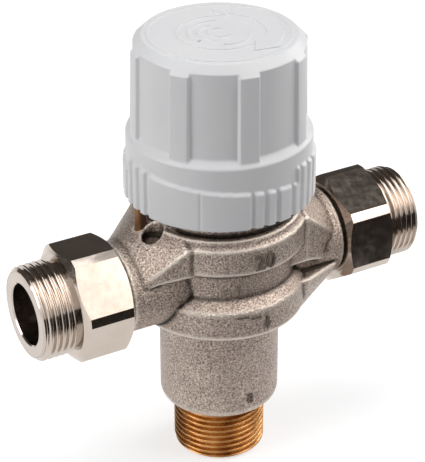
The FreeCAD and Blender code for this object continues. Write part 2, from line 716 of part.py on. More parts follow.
# side bores, one section turned round the pipe axis
for side, sign in (("hot", -1), ("cold", 1)):
    sketch = new_sketch(body, side + "_bore_section", "YZ_Plane",
                        d.inlet_bore_stop * sign)
    ring(sketch, 0, pipe_axis, d.inlet_bore_rad)
    pocket(body, side + "_bore", sketch, d.branch_reach - d.inlet_bore_stop + 2,
           reverse=(sign > 0))
    sketch = new_sketch(body, side + "_spigot_section", "YZ_Plane",
                        (d.branch_reach - d.spigot_len + d.gasket_thick) * sign)
    ring(sketch, 0, pipe_axis, branch_bore)
    pocket(body, side + "_spigot_bore", sketch, d.spigot_len + 2,
           reverse=(sign > 0))
    # way from the side bore into its ring channel
    if side == "hot":
        z0 = land_high
    else:
        z0 = land_low - d.inlet_slot_height
    sketch = new_sketch(body, side + "_slot_section", "YZ_Plane",
                        (d.shuttle_rad + 1.0) * sign)
    outline(sketch, rectangle(-d.inlet_slot_half, z0, d.inlet_slot_half,
                              z0 + d.inlet_slot_height))
    pocket(body, side + "_slot", sketch,
           d.inlet_bore_stop - d.shuttle_rad + 1, reverse=(sign > 0))

# hole of the locking pin and the notch beside it
pin_top = knob_foot - d.lock_pin_gap
pin_foot = pin_top - d.lock_pin_len
sketch = new_sketch(body, "lock_pin_hole_section", "XY_Plane", pin_foot)
ring(sketch, d.lock_pin_place * cosd(d.lock_pin_angle),
     d.lock_pin_place * sind(d.lock_pin_angle), d.lock_pin_rad + d.fit_fixed)
pocket(body, "lock_pin_hole", sketch, d.lock_pin_len + 2, reverse=True)
sketch = new_sketch(body, "notch_section", "XY_Plane", body_top - d.notch_depth)
ring(sketch, d.notch_place * cosd(d.notch_angle),
     d.notch_place * sind(d.notch_angle), d.notch_rad)
pocket(body, "notch", sketch, d.notch_depth + 2, reverse=True)
seat(body)

# ==========================================================================
# Locking pin
# ==========================================================================
pin = doc.addObject("Part::Cylinder", "lock_pin")
pin.Label = "lock_pin"
bind(pin, "Radius", d.lock_pin_rad)
bind(pin, "Height", d.lock_pin_len)
seat(pin, x=d.lock_pin_place * cosd(d.lock_pin_angle),
     y=d.lock_pin_place * sind(d.lock_pin_angle), z=pin_foot)
NODES.append(pin)

# ==========================================================================
# Outlet nipple, screwed into the foot of the body
# ==========================================================================
nipple = new_body("outlet_nipple")
c = d.outlet_end_chamfer
ring_z = body_foot + d.outlet_ring_rise
ring_half = d.outlet_ring_wire + d.fit_seal
ring_floor = d.outlet_spigot_rad + d.fit_fixed - (d.outlet_ring_wire + d.fit_seal) * 2
revolve(nipple, "turned", [
    (d.outlet_bore_rad, 0), (d.outlet_thread_rad - c, 0), (d.outlet_thread_rad, c),
    (d.outlet_thread_rad, d.outlet_thread_len),
    (d.outlet_collar_rad, d.outlet_thread_len),
    (d.outlet_collar_rad, body_foot), (d.outlet_spigot_rad, body_foot),
    (d.outlet_spigot_rad, ring_z - ring_half), (ring_floor, ring_z - ring_half),
    (ring_floor, ring_z + ring_half), (d.outlet_spigot_rad, ring_z + ring_half),
    (d.outlet_spigot_rad, spigot_top), (d.outlet_bore_rad, spigot_top)])
seat(nipple)
sealing_ring("outlet_nipple_o_ring", ring_floor + d.fit_seal + d.outlet_ring_wire,
             d.outlet_ring_wire, ring_z)

# ==========================================================================
# Connectors with gaskets, strainers and check cartridges
# Each is modelled along its own +Z, then laid along the pipe axis.
# ==========================================================================
hex_from = d.branch_reach + d.gasket_thick
hex_to = hex_from + d.hex_len
inlet_end = hex_to + d.inlet_thread_len
check_to = d.check_start + d.check_len
guide_to = d.check_start + d.check_guide_thick
seat_from = check_to - d.check_seat_thick
seal_from = seat_from - d.poppet_seal_thick
disc_from = seal_from - d.poppet_thick
check_rad = d.inlet_bore_rad - d.fit_fixed
spigot_from = d.branch_reach - d.spigot_len + d.gasket_thick

for side, turn in (("hot", -90), ("cold", 90)):
    hex_turn = d.hot_hex_turn if side == "hot" else d.cold_hex_turn

    def lay(obj, along=0):
        """Lay a piece along the pipe axis, its +Z outwards."""
        away = as_size(along)
        x = -away if side == "hot" else away
        seat(obj, x=x, z=pipe_axis, axis=(0, 1, 0), angle=turn)

    # hexagon, turned corners and chamfered ends, thread and spigot
    piece = new_body(side + "_connector")
    c = d.inlet_end_chamfer
    revolve(piece, "turned", [
        (d.inlet_bore_rad, spigot_from), (d.spigot_rad, spigot_from),
        (d.spigot_rad, hex_from), (d.hex_chamfer_rad, hex_from),
        (d.hex_round_rad, hex_from + d.hex_chamfer_len),
        (d.hex_round_rad, hex_to - d.hex_chamfer_len),
        (d.hex_chamfer_rad, hex_to), (d.inlet_relief_rad, hex_to),
        (d.inlet_relief_rad, hex_to + d.inlet_relief_len),
        (d.inlet_thread_rad, hex_to + d.inlet_relief_len),
        (d.inlet_thread_rad, inlet_end - c), (d.inlet_thread_rad - c, inlet_end),
        (d.inlet_bore_rad + c * 0.4, inlet_end),
        (d.inlet_bore_rad, inlet_end - c * 0.4)])
    sketch = new_sketch(piece, side + "_flat_section", "XY_Plane", hex_from - 0.2)
    # one flat, cut outside its plane, then repeated six times
    direction = 30 + (hex_turn if side == "cold" else -hex_turn)
    reach = d.hex_round_rad + 1
    near = d.hex_flats / 2
    # corners of a block beyond the flat, seen along the pipe axis
    def spot(away, across):
        return (away * cosd(direction) - across * sind(direction),
                away * sind(direction) + across * cosd(direction))
    outline(sketch, [spot(near, -reach), spot(reach, -reach), spot(reach, reach),
                     spot(near, reach)])
    flat = pocket(piece, side + "_flat", sketch, d.hex_len + 0.4, reverse=True)
    around(piece, side + "_flats", [flat], 6)
    lay(piece)

    # flat gasket
    washer = new_body(side + "_connector_gasket")
    revolve(washer, "punched", rectangle(d.spigot_rad + d.fit_fixed, d.branch_reach,
                                         d.gasket_rad, hex_from))
    lay(washer)

    # check cartridge: tube with a seat outside and a three-armed guide inside
    shell = new_body(side + "_check_housing")
    tube_in = check_rad - d.check_wall
    revolve(shell, "tube", [
        (tube_in, d.check_start), (check_rad, d.check_start), (check_rad, check_to),
        (d.check_seat_rad, check_to), (d.check_seat_rad, seat_from),
        (tube_in, seat_from)])
    sketch = new_sketch(shell, side + "_hub_section", "XY_Plane", d.check_start)
    ring(sketch, 0, 0, d.check_hub_rad)
    pad(shell, side + "_hub", sketch, d.check_guide_thick)
    sketch = new_sketch(shell, side + "_arm_section", "XY_Plane", d.check_start)
    outline(sketch, rectangle(0, -d.check_arm_width / 2, tube_in + 0.4,
                              d.check_arm_width / 2))
    arm = pad(shell, side + "_arm", sketch, d.check_guide_thick)
    around(shell, side + "_arms", [arm], 3)
    sketch = new_sketch(shell, side + "_guide_hole_section", "XY_Plane",
                        d.check_start)
    ring(sketch, 0, 0, d.poppet_stem_rad + d.fit_slide)
    pocket(shell, side + "_guide_hole", sketch, d.check_guide_thick + 1,
           reverse=True)
    lay(shell)

    # poppet: disc with a rim round its rubber face, and a stem through the guide
    poppet = new_body(side + "_check_poppet")
    revolve(poppet, "turned", [
        (0, d.check_start + 0.6), (d.poppet_stem_rad, d.check_start + 0.6),
        (d.poppet_stem_rad, disc_from), (d.poppet_rad, disc_from),
        (d.poppet_rad, seal_from), (d.poppet_seal_bore, seal_from),
        (d.poppet_seal_bore - 0.8, check_to - 0.4), (0, check_to - 0.4)])
    lay(poppet)
    face = new_body(side + "_check_seal")
    revolve(face, "moulded", rectangle(d.poppet_seal_bore + d.fit_fixed, seal_from,
                                       d.poppet_seal_rad, seat_from))
    lay(face)

    # spring between guide and disc
    spring = coil(side + "_check_spring", d.check_spring_rad, d.check_spring_wire,
                  guide_to, disc_from, d.check_spring_turns)
    lay(spring, along=guide_to + d.check_spring_wire + d.fit_seal)

    # strainer basket: rim in the bore, slotted wall, closed dome outside
    basket = new_body(side + "_strainer")
    s0, s1 = check_to, check_to + d.strainer_len
    wall = d.strainer_wall
    revolve(basket, "basket", [
        (d.strainer_rad - wall, s0), (check_rad, s0),
        (check_rad, s0 + d.strainer_rim), (d.strainer_rad, s0 + d.strainer_rim),
        (d.strainer_rad - 0.8, s1), (0, s1), (0, s1 - wall),
        (d.strainer_rad - 0.8 - wall, s1 - wall)])
    sketch = new_sketch(basket, side + "_slot_cut_section", "XY_Plane",
                        s0 + d.strainer_rim + 0.3)
    outline(sketch, rectangle(d.strainer_rad - wall - 1.4, -d.strainer_slot / 2,
                              d.strainer_rad + 0.5, d.strainer_slot / 2))
    slot = pocket(basket, side + "_slot_cut", sketch,
                  d.strainer_len - d.strainer_rim - wall - 0.6, reverse=True)
    around(basket, side + "_slots_cut", [slot], d.strainer_slots)
    lay(basket)

# ==========================================================================
# Bonnet, screwed into the top of the body
# ==========================================================================
bonnet = new_body("bonnet")
bonnet_top = flange_top + d.bonnet_stem_len
ring_z = hot_seat + d.bonnet_ring_rise
ring_half = d.bonnet_ring_wire + d.fit_seal
ring_floor = bonnet_bore - ring_half * 2
cavity = d.carrier_rad + d.fit_slide
revolve(bonnet, "turned", [
    (cavity, hot_seat), (d.bonnet_rad, hot_seat),
    (d.bonnet_rad, ring_z - ring_half), (ring_floor, ring_z - ring_half),
    (ring_floor, ring_z + ring_half), (d.bonnet_rad, ring_z + ring_half),
    (d.bonnet_rad, body_top), (d.bonnet_flange_rad, body_top),
    (d.bonnet_flange_rad, flange_top), (d.bonnet_stem_rad, flange_top),
    (d.bonnet_stem_rad, bonnet_top), (d.spindle_rad + d.fit_slide, bonnet_top),
    (d.spindle_rad + d.fit_slide, bonnet_roof),
    (cavity, bonnet_roof)])
sketch = new_sketch(bonnet, "keyway_section", "XY_Plane", hot_seat - 1)
kw = d.carrier_key_width / 2 + d.fit_slide
outline(sketch, rectangle(-kw, -(d.carrier_key_reach + d.fit_slide), kw,
                          d.carrier_key_reach + d.fit_slide))
flange_foot = bonnet_roof - d.spindle_flange_len
pocket(bonnet, "keyways", sketch, flange_foot - hot_seat + 1, reverse=True)
seat(bonnet)
sealing_ring("bonnet_o_ring", ring_floor + d.fit_seal + d.bonnet_ring_wire,
             d.bonnet_ring_wire, ring_z)

# ==========================================================================
# Spindle with its rings and clip
# ==========================================================================
spindle = new_body("spindle")
ring_half = d.spindle_ring_wire + d.fit_seal
ring_floor = d.spindle_rad + d.fit_slide - ring_half * 2
low_z = bonnet_roof + d.spindle_ring_low
high_z = bonnet_roof + d.spindle_ring_high
clip_foot = bonnet_top + d.fit_slide
clip_top = clip_foot + d.clip_thick
hub_foot = bonnet_top + d.hub_gap
head_top = hub_foot + d.spindle_head_len
snap_z = hub_foot + d.snap_rise
snap_floor = d.snap_mid_rad - d.snap_wire - d.fit_seal
head_round = d.spindle_head_flats / 2 / cosd(30)
clip_floor = d.clip_bore - d.fit_slide
screw_foot = flange_foot - d.spindle_screw_len
revolve(spindle, "turned", [
    (0, screw_foot), (d.spindle_screw_rad - 0.5, screw_foot),
    (d.spindle_screw_rad, screw_foot + 0.5), (d.spindle_screw_rad, flange_foot),
    (d.spindle_flange_rad, flange_foot),
    (d.spindle_flange_rad, bonnet_roof - d.fit_slide),
    (d.spindle_rad, bonnet_roof - d.fit_slide),
    (d.spindle_rad, low_z - ring_half), (ring_floor, low_z - ring_half),
    (ring_floor, low_z + ring_half), (d.spindle_rad, low_z + ring_half),
    (d.spindle_rad, high_z - ring_half), (ring_floor, high_z - ring_half),
    (ring_floor, high_z + ring_half), (d.spindle_rad, high_z + ring_half),
    (d.spindle_rad, clip_foot), (clip_floor, clip_foot),
    (clip_floor, clip_top), (d.spindle_rad, clip_top),
    (d.spindle_rad, hub_foot), (head_round, hub_foot),
    (head_round, snap_z - d.snap_wire - d.fit_seal),
    (snap_floor, snap_z - d.snap_wire - d.fit_seal),
    (snap_floor, snap_z + d.snap_wire + d.fit_seal),
    (head_round, snap_z + d.snap_wire + d.fit_seal),
    (head_round, head_top - 0.5), (head_round - 0.5, head_top), (0, head_top)])
sketch = new_sketch(spindle, "head_flat_section", "XY_Plane", hub_foot)
outline(sketch, rectangle(d.spindle_head_flats / 2, -8, 8, 8))
flat = pocket(spindle, "head_flat", sketch, d.spindle_head_len + 1, reverse=True)
around(spindle, "head_flats", [flat], 6)
seat(spindle, angle=d.ramp_start)
ring_mid = ring_floor + d.fit_seal + d.spindle_ring_wire
sealing_ring("spindle_o_ring_lower", ring_mid, d.spindle_ring_wire, low_z)
sealing_ring("spindle_o_ring_upper", ring_mid, d.spindle_ring_wire, high_z)

clip = new_body("spindle_clip")
revolve(clip, "stamped", rectangle(d.clip_bore, clip_foot, d.clip_rad, clip_top))
sketch = new_sketch(clip, "clip_gap_section", "XY_Plane", clip_foot - 1)
outline(sketch, rectangle(0, -d.clip_gap_half, d.clip_rad + 1, d.clip_gap_half))
pocket(clip, "clip_gap", sketch, d.clip_thick + 2, reverse=True)
seat(clip)

snap = new_body("knob_snap_ring")
revolve(snap, "bent", cord_section(d.snap_mid_rad, snap_z, d.snap_wire),
        angle=d.snap_bend)
seat(snap)

# ==========================================================================
# Carrier, overload spring, its plate and clip
# ==========================================================================
carrier = new_body("carrier")
carrier_low = hot_seat - d.carrier_drop
carrier_top = flange_foot - d.carrier_top_gap
web_foot = carrier_top - d.carrier_web_len
inside = d.carrier_rad - d.carrier_wall
clip_low = carrier_low + d.overload_clip_rise
clip_high = clip_low + d.overload_clip_thick
revolve(carrier, "turned", [
    (inside, carrier_low), (d.carrier_rad, carrier_low),
    (d.carrier_rad, carrier_top),
    (d.spindle_screw_rad + d.fit_slide, carrier_top),
    (d.spindle_screw_rad + d.fit_slide, web_foot), (inside, web_foot),
    (inside, clip_high),
    (inside + d.overload_clip_bite + d.fit_fixed, clip_high),
    (inside + d.overload_clip_bite + d.fit_fixed, clip_low), (inside, clip_low)])
sketch = new_sketch(carrier, "key_section", "XY_Plane",
                    carrier_low + d.carrier_key_rise)
outline(sketch, rectangle(-d.carrier_key_width / 2, d.carrier_rad - 0.5,
                          d.carrier_key_width / 2, d.carrier_key_reach))
key = pad(carrier, "key", sketch, d.carrier_key_len)
around(carrier, "keys", [key], 2)
seat(carrier)

ring_clip = new_body("overload_clip")
revolve(ring_clip, "stamped", rectangle(d.overload_clip_bore, clip_low,
                                        inside + d.overload_clip_bite, clip_high))
seat(ring_clip)
plate_top = clip_high + d.overload_plate_thick
plate = new_body("overload_plate")
revolve(plate, "turned", rectangle(0, clip_high, inside - d.fit_slide, plate_top))
seat(plate)
coil("overload_spring", d.overload_spring_rad, d.overload_spring_wire,
     plate_top, web_foot, d.overload_spring_turns)

# ==========================================================================
# Sensing capsule, its pin, and the shuttle
# ==========================================================================
shuttle_low = cold_seat + d.seat_gap
shuttle_high = hot_seat - d.seat_gap
spider_foot = shuttle_low + d.spider_rise
spider_top = spider_foot + d.spider_thick
capsule_low = spider_foot - d.capsule_drop
cap_flange_top = spider_top + d.capsule_flange_len
neck_top = cap_flange_top + d.capsule_neck_len
pin_low = neck_top - d.pin_depth
capsule = new_body("sensing_capsule")
revolve(capsule, "turned", [
    (0, capsule_low), (d.capsule_rad - 0.8, capsule_low),
    (d.capsule_rad, capsule_low + 0.8), (d.capsule_rad, spider_top),
    (d.capsule_flange_rad, spider_top), (d.capsule_flange_rad, cap_flange_top),
    (d.capsule_neck_rad, cap_flange_top), (d.capsule_neck_rad, neck_top),
    (d.pin_rad + d.fit_slide, neck_top),
    (d.pin_rad + d.fit_slide, pin_low - 1.5), (0, pin_low - 1.5)])
seat(capsule)
push = doc.addObject("Part::Cylinder", "capsule_pin")
push.Label = "capsule_pin"
bind(push, "Radius", d.pin_rad)
bind(push, "Height", clip_high - pin_low)
seat(push, z=pin_low)
NODES.append(push)

shuttle = new_body("shuttle")
flare_foot = shuttle_high - d.shuttle_flare_len
bore = d.shuttle_rad - d.shuttle_wall
ring_z = pipe_axis
ring_half = d.shuttle_ring_wire + d.fit_seal
ring_floor = land_bore - ring_half * 2
revolve(shuttle, "turned", [
    (bore, shuttle_low), (d.shuttle_rad, shuttle_low),
    (d.shuttle_rad, ring_z - ring_half), (ring_floor, ring_z - ring_half),
    (ring_floor, ring_z + ring_half), (d.shuttle_rad, ring_z + ring_half),
    (d.shuttle_rad, shuttle_high), (bore + d.shuttle_flare, shuttle_high),
    (bore + d.shuttle_flare, flare_foot),
    (bore, flare_foot - d.shuttle_flare)])
sketch = new_sketch(shuttle, "spider_hub_section", "XY_Plane", spider_foot)
ring(sketch, 0, 0, d.spider_hub_rad)
pad(shuttle, "spider_hub", sketch, d.spider_thick)
sketch = new_sketch(shuttle, "spider_arm_section", "XY_Plane", spider_foot)
outline(sketch, rectangle(0, -d.spider_arm_width / 2, bore + 0.5,
                          d.spider_arm_width / 2))
arm = pad(shuttle, "spider_arm", sketch, d.spider_thick)
around(shuttle, "spider_arms", [arm], 4)
sketch = new_sketch(shuttle, "spider_hole_section", "XY_Plane", spider_foot)
ring(sketch, 0, 0, d.capsule_rad + d.fit_fixed)
pocket(shuttle, "spider_hole", sketch, d.spider_thick + 1, reverse=True)
seat(shuttle)
sealing_ring("shuttle_o_ring", ring_floor + d.fit_seal + d.shuttle_ring_wire,
             d.shuttle_ring_wire, ring_z)

washer = new_body("spring_seat")
seat_top = spigot_top + d.spring_seat_thick
revolve(washer, "stamped", rectangle(d.spring_seat_bore, spigot_top,
                                     d.spring_seat_rad, seat_top))
seat(washer)
coil("return_spring", d.return_spring_rad, d.return_spring_wire, seat_top,
     spider_foot, d.return_spring_turns)

# ==========================================================================
# Adjusting knob: one moulding with ribs, skirt and raised panels
# ==========================================================================
knob = new_body("adjusting_knob")
skirt_top = knob_foot + d.skirt_len
shoulder_top = skirt_top + d.shoulder_len
knob_top = shoulder_top + d.cap_len
ceiling = knob_top - d.knob_roof
cap_edge = knob_top - d.cap_round
rib_top = knob_top - d.rib_top_drop
revolve(knob, "cap", [
    (0, ceiling), (d.cap_top_rad - d.knob_wall, ceiling),
    (d.cap_foot_rad - d.knob_wall, skirt_top),
    (d.skirt_rad - d.skirt_wall, skirt_top - 2),
    (d.skirt_rad - d.skirt_wall, knob_foot),
    (d.skirt_rad, knob_foot), (d.skirt_rad, skirt_top),
    (d.cap_foot_rad, shoulder_top), (d.cap_top_rad, cap_edge),
    (d.cap_top_rad - d.cap_round, knob_top), (0, knob_top)],
    arcs={8: (d.cap_round, True)})
# ribs
rib = revolve(knob, "rib", [
    (d.cap_top_rad - 0.6, skirt_top),
    (d.rib_foot_rad, skirt_top + 0.4),
    (d.rib_top_rad, rib_top),
    (d.cap_top_rad - 0.6, cap_edge + 0.3)], angle=d.rib_angle,
    turn=d.rib_after_ramp)
around(knob, "ribs", [rib], d.rib_count)

# raised panels: their upper edge falls along a helix
sketch = new_sketch(knob, "ramp_section", "XZ_Plane")
ramp_high = knob_foot + d.ramp_high_len
drop = d.ramp_high_len - d.ramp_low_len
outline(sketch, [(d.skirt_rad - 0.3, knob_foot),
                 (d.ramp_rad, knob_foot),
                 (d.ramp_rad, ramp_high - 0.4),
                 (d.ramp_rad - 0.4, ramp_high), (d.skirt_rad - 0.3, ramp_high)])
ramp = knob.newObject("PartDesign::AdditiveHelix", "ramp")
ramp.Profile = sketch
ramp.ReferenceAxis = (sketch, ["V_Axis"])
ramp.Mode = 0
ramp.Pitch = (drop * d.ramp_count).value
ramp.setExpression("Pitch", (drop * d.ramp_count).text)
ramp.Height = drop.value
ramp.setExpression("Height", drop.text)
ramp.LeftHanded = True
ramp.Reversed = True
around(knob, "ramps", [ramp], d.ramp_count)
revolve(knob, "skirt_foot", rectangle(d.skirt_rad - d.skirt_wall - 1,
                                      knob_foot - 8, d.ramp_rad + 3,
                                      knob_foot), cut=True)
# grip grooves
cuts = []
for number, (first, many) in enumerate([(d.groove_first - d.groove_step, 4),
                                        (d.groove_next, 3)]):
    for k in range(many):
        sketch = new_sketch(knob, "groove_%d_%d" % (number, k), "XY_Plane",
                            knob_foot - 1)
        angle = first + d.groove_step * k
        half = d.groove_width / 2
        near = d.ramp_rad - d.groove_depth
        far = d.ramp_rad + 1

        def spot(away, across):
            return (away * cosd(angle) - across * sind(angle),
                    away * sind(angle) + across * cosd(angle))
        outline(sketch, [spot(near, -half), spot(far, -half), spot(far, half),
                         spot(near, half)])
        cuts.append(pocket(knob, "groove_cut_%d_%d" % (number, k), sketch,
                           ramp_high - knob_foot + 2, reverse=True))
around(knob, "grooves", cuts, d.ramp_count)
# upright index line on the front panel
sketch = new_sketch(knob, "index_section", "XY_Plane", knob_foot - 1)
half = d.index_width / 2
near = d.ramp_rad - d.index_depth
far = d.ramp_rad + 1
outline(sketch, [
    (away * cosd(d.index_angle) - across * sind(d.index_angle),
     away * sind(d.index_angle) + across * cosd(d.index_angle))
    for away, across in ((near, -half), (far, -half), (far, half), (near, half))])
pocket(knob, "index_line", sketch, ramp_high - knob_foot + 2, reverse=True)
# hub with its socket and snap groove, and the stiffening webs
revolve(knob, "hub", [
    (snap_floor + 0.3, hub_foot), (d.hub_rad, hub_foot), (d.hub_rad, ceiling + 0.5),
    (0, ceiling + 0.5), (0, head_top + d.fit_slide), (snap_floor + 0.3, head_top + d.fit_slide)])
sketch = new_sketch(knob, "socket_section", "XY_Plane", hub_foot - 1)
socket = (d.spindle_head_flats / 2 + d.fit_fixed) / cosd(30)
outline(sketch, [(socket * cosd(30 + 60 * k), socket * sind(30 + 60 * k))
                 for k in range(6)])
pocket(knob, "socket", sketch, d.spindle_head_len + 1 + d.fit_slide, reverse=True)
groove_rad = d.snap_mid_rad + d.snap_wire + d.fit_seal
revolve(knob, "snap_groove", rectangle(
    snap_floor, snap_z - d.snap_wire - d.fit_seal, groove_rad,
    snap_z + d.snap_wire + d.fit_seal), cut=True)
sketch = new_sketch(knob, "hub_web_section", "XY_Plane", ceiling - d.hub_web_len)
outline(sketch, rectangle(d.hub_rad - 0.5, -d.hub_web / 2,
                          d.cap_top_rad - d.knob_wall + 0.5, d.hub_web / 2))
web = pad(knob, "hub_web", sketch, d.hub_web_len + 0.5)
around(knob, "hub_webs", [web], 6)
seat(knob, angle=d.ramp_start)

# --------------------------------------------------------------------------
# Build, check and write every piece
# --------------------------------------------------------------------------
doc.recompute()
faults = []
for obj in doc.Objects:
    if "Invalid" in obj.State or "Error" in obj.State:
        faults.append("%s %s" % (obj.Name, obj.State))
for node in NODES:
    shape = node.Shape
    if shape.isNull() or not shape.isValid() or len(shape.Solids) != 1:
        faults.append("%s: null, invalid or %d solids" % (
            node.Label, 0 if shape.isNull() else len(shape.Solids)))
if faults:
    raise RuntimeError("\n".join(faults))
os.makedirs("parts", exist_ok=True)
for node in NODES:
    node.Shape.exportStep("parts/%s.step" % node.Label)
    box = node.Shape.BoundBox
    print("%-26s %9.1f mm3  x %.2f..%.2f y %.2f..%.2f z %.2f..%.2f" % (
        node.Label, node.Shape.Volume, box.XMin, box.XMax, box.YMin, box.YMax,
        box.ZMin, box.ZMax))
print(len(NODES), "nodes")
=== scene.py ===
"""Looks of the thermostatic mixing valve: cast nickel body, bright connectors,
raw brass outlet and a white moulded knob."""
import json
import math

import bmesh
import bpy
import numpy as np
from mathutils import Matrix, Vector
from mathutils.bvhtree import BVHTree


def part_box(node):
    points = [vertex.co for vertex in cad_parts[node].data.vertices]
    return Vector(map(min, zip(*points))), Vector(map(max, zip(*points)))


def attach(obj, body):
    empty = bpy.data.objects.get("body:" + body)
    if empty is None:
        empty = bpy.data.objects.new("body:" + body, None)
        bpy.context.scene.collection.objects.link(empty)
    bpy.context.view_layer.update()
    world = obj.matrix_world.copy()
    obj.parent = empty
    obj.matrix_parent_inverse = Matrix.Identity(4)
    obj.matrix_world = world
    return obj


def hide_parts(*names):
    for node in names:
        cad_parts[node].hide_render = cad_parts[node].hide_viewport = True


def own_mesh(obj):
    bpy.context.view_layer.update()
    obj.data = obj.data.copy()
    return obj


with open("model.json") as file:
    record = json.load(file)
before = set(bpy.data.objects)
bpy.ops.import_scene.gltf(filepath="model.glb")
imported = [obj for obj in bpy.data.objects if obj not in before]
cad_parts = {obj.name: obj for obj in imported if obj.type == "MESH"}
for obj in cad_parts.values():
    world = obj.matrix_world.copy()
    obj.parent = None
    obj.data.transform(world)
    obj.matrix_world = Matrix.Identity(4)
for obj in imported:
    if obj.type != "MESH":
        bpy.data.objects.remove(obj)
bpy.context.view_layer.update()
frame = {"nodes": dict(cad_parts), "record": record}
NODES = frame["nodes"]
MM = 0.001
TAU = math.tau


def put(name, data):
    """New object in the scene."""
    obj = bpy.data.objects.new(name, data)
    bpy.context.collection.objects.link(obj)
    return obj


def toward(azimuth, rise):
    """Direction from the object: azimuth counted from +X round to +Y, in degrees."""
    turn, up = math.radians(azimuth), math.radians(rise)
    return Vector((math.cos(up) * math.cos(turn), math.cos(up) * math.sin(turn),
                   math.sin(up)))


# --------------------------------------------------------------------------
# Camera
# --------------------------------------------------------------------------
CAMERA_TURN, CAMERA_RISE = -29.714, 29.572      # degrees, left of the front and up
CAMERA_AT = (-0.2078, -0.3603, 0.3055)


def make_camera():
    turn, rise = math.radians(CAMERA_TURN), math.radians(CAMERA_RISE)
    back = Vector((math.sin(turn) * math.cos(rise), -math.cos(turn) * math.cos(rise),
                   math.sin(rise)))
    right = Vector((math.cos(turn), math.sin(turn), 0))
    up = back.cross(right)
    data = bpy.data.cameras.new("camera")
    data.lens = 133.48
    data.sensor_width = 36
    data.sensor_fit = "AUTO"
    data.clip_start = 0.01
    data.clip_end = 20
    cam = put("camera", data)
    m = Matrix((right, up, back)).transposed().to_4x4()
    m.translation = Vector(CAMERA_AT)
    cam.matrix_world = m
    bpy.context.scene.camera = cam


make_camera()
bpy.context.scene.view_settings.view_transform = "Standard"


# --------------------------------------------------------------------------
# Materials
# --------------------------------------------------------------------------
def material(name):
    """New material, its node tree and its shader."""
    m = bpy.data.materials.new(name)
    m.use_nodes = True
    nt = m.node_tree
    return m, nt, nt.nodes["Principled BSDF"]


def node(nt, kind, **values):
    """New node: a value goes to the socket of its name, or else to the setting."""
    n = nt.nodes.new(kind)
    for key, value in values.items():
        if key in n.inputs:
            n.inputs[key].default_value = value
        else:
            setattr(n, key, value)
    return n


def ramp(nt, source, stops):
    """Colours, or greys given as one number, along the source's value."""
    r = nt.nodes.new("ShaderNodeValToRGB")
    while len(r.color_ramp.elements) < len(stops):
        r.color_ramp.elements.new(0.5)
    for e, (pos, col) in zip(r.color_ramp.elements, stops):
        e.position = pos
        e.color = (col,) * 3 + (1,) if isinstance(col, float) else (*col, 1)
    nt.links.new(source, r.inputs["Fac"])
    return r.outputs["Color"]


def noise(nt, scale, detail=4.0, rough=0.6):
    """Noise in the object's own coordinates, scale in cells a metre."""
    n = node(nt, "ShaderNodeTexNoise", Scale=scale, Detail=detail, Roughness=rough)
    nt.links.new(nt.nodes.new("ShaderNodeTexCoord").outputs["Object"],
                 n.inputs["Vector"])
    return n.outputs["Fac"]


def bump(nt, shader, height, strength, distance, normal=None):
    """Bump over an earlier normal, passed to the shader if one is given."""
    b = node(nt, "ShaderNodeBump", Strength=strength, Distance=distance)
    nt.links.new(height, b.inputs["Height"])
    if normal is not None:
        nt.links.new(normal, b.inputs["Normal"])
    if shader is not None:
        nt.links.new(b.outputs["Normal"], shader.inputs["Normal"])
    return b.outputs["Normal"]


MIX_A, MIX_B, MIX_RESULT = 6, 7, 2              # the colour sockets of a Mix node


def mix(nt, fac, a, b, kind="MIX"):
    """Colour a blended with b; each may be a link or a fixed value."""
    n = nt.nodes.new("ShaderNodeMix")
    n.data_type = "RGBA"
    n.blend_type = kind
    if isinstance(fac, float):
        n.inputs["Factor"].default_value = fac
    else:
        nt.links.new(fac, n.inputs["Factor"])
    for value, place in ((a, MIX_A), (b, MIX_B)):
        if isinstance(value, tuple):
            n.inputs[place].default_value = (*value, 1)
        else:
            nt.links.new(value, n.inputs[place])
    return n.outputs[MIX_RESULT]


HOLLOW = "hollow"       # attribute: 0 on a convex edge, painted lighter, 0.5 on the flat, 1 in a crease, painted with shade


def cast_nickel():
    """Sand-cast brass under dull nickel: warm grey, fine grain, painted shade in
    creases and on raised figures, lighter on convex edges.
    """
    m, nt, s = material("cast_nickel")
    fine = noise(nt, 2100.0, 2.0, 0.6)
    grit = noise(nt, 1300.0, 3.0, 0.65)
    broad = noise(nt, 120.0, 4.0, 0.6)
    tone = ramp(nt, fine, [(0.34, (0.20, 0.152, 0.13)), (0.48, (0.43, 0.35, 0.305)),
                           (0.66, (0.72, 0.62, 0.535))])
    wide = ramp(nt, broad, [(0.35, (0.86, 0.83, 0.83)), (0.65, (1.0, 1.0, 0.98))])
    tone = mix(nt, 1.0, tone, wide, "MULTIPLY")
    hollow = nt.nodes.new("ShaderNodeAttribute")
    hollow.attribute_name = HOLLOW
    # painted shade: creases and raised figures darkened towards near black, where shade
    # would fall
    painted_crease_shade = ramp(nt, hollow.outputs["Fac"], [(0.50, 0.0), (0.85, 1.0)])
    tone = mix(nt, painted_crease_shade, tone, (0.03, 0.022, 0.016))
    # convex edges painted a lighter colour
    edge = ramp(nt, hollow.outputs["Fac"], [(0.15, 1.0), (0.44, 0.0)])
    tone = mix(nt, edge, tone, (0.74, 0.66, 0.58))
    nt.links.new(tone, s.inputs["Base Color"])
    s.inputs["Metallic"].default_value = 0.8
    nt.links.new(ramp(nt, grit, [(0.3, 0.44), (0.7, 0.30)]), s.inputs["Roughness"])
    first = bump(nt, None, grit, 1.0, 0.00042)
    second = bump(nt, None, fine, 0.7, 0.0002, first)
    bump(nt, s, broad, 0.2, 0.0006, second)
    return m


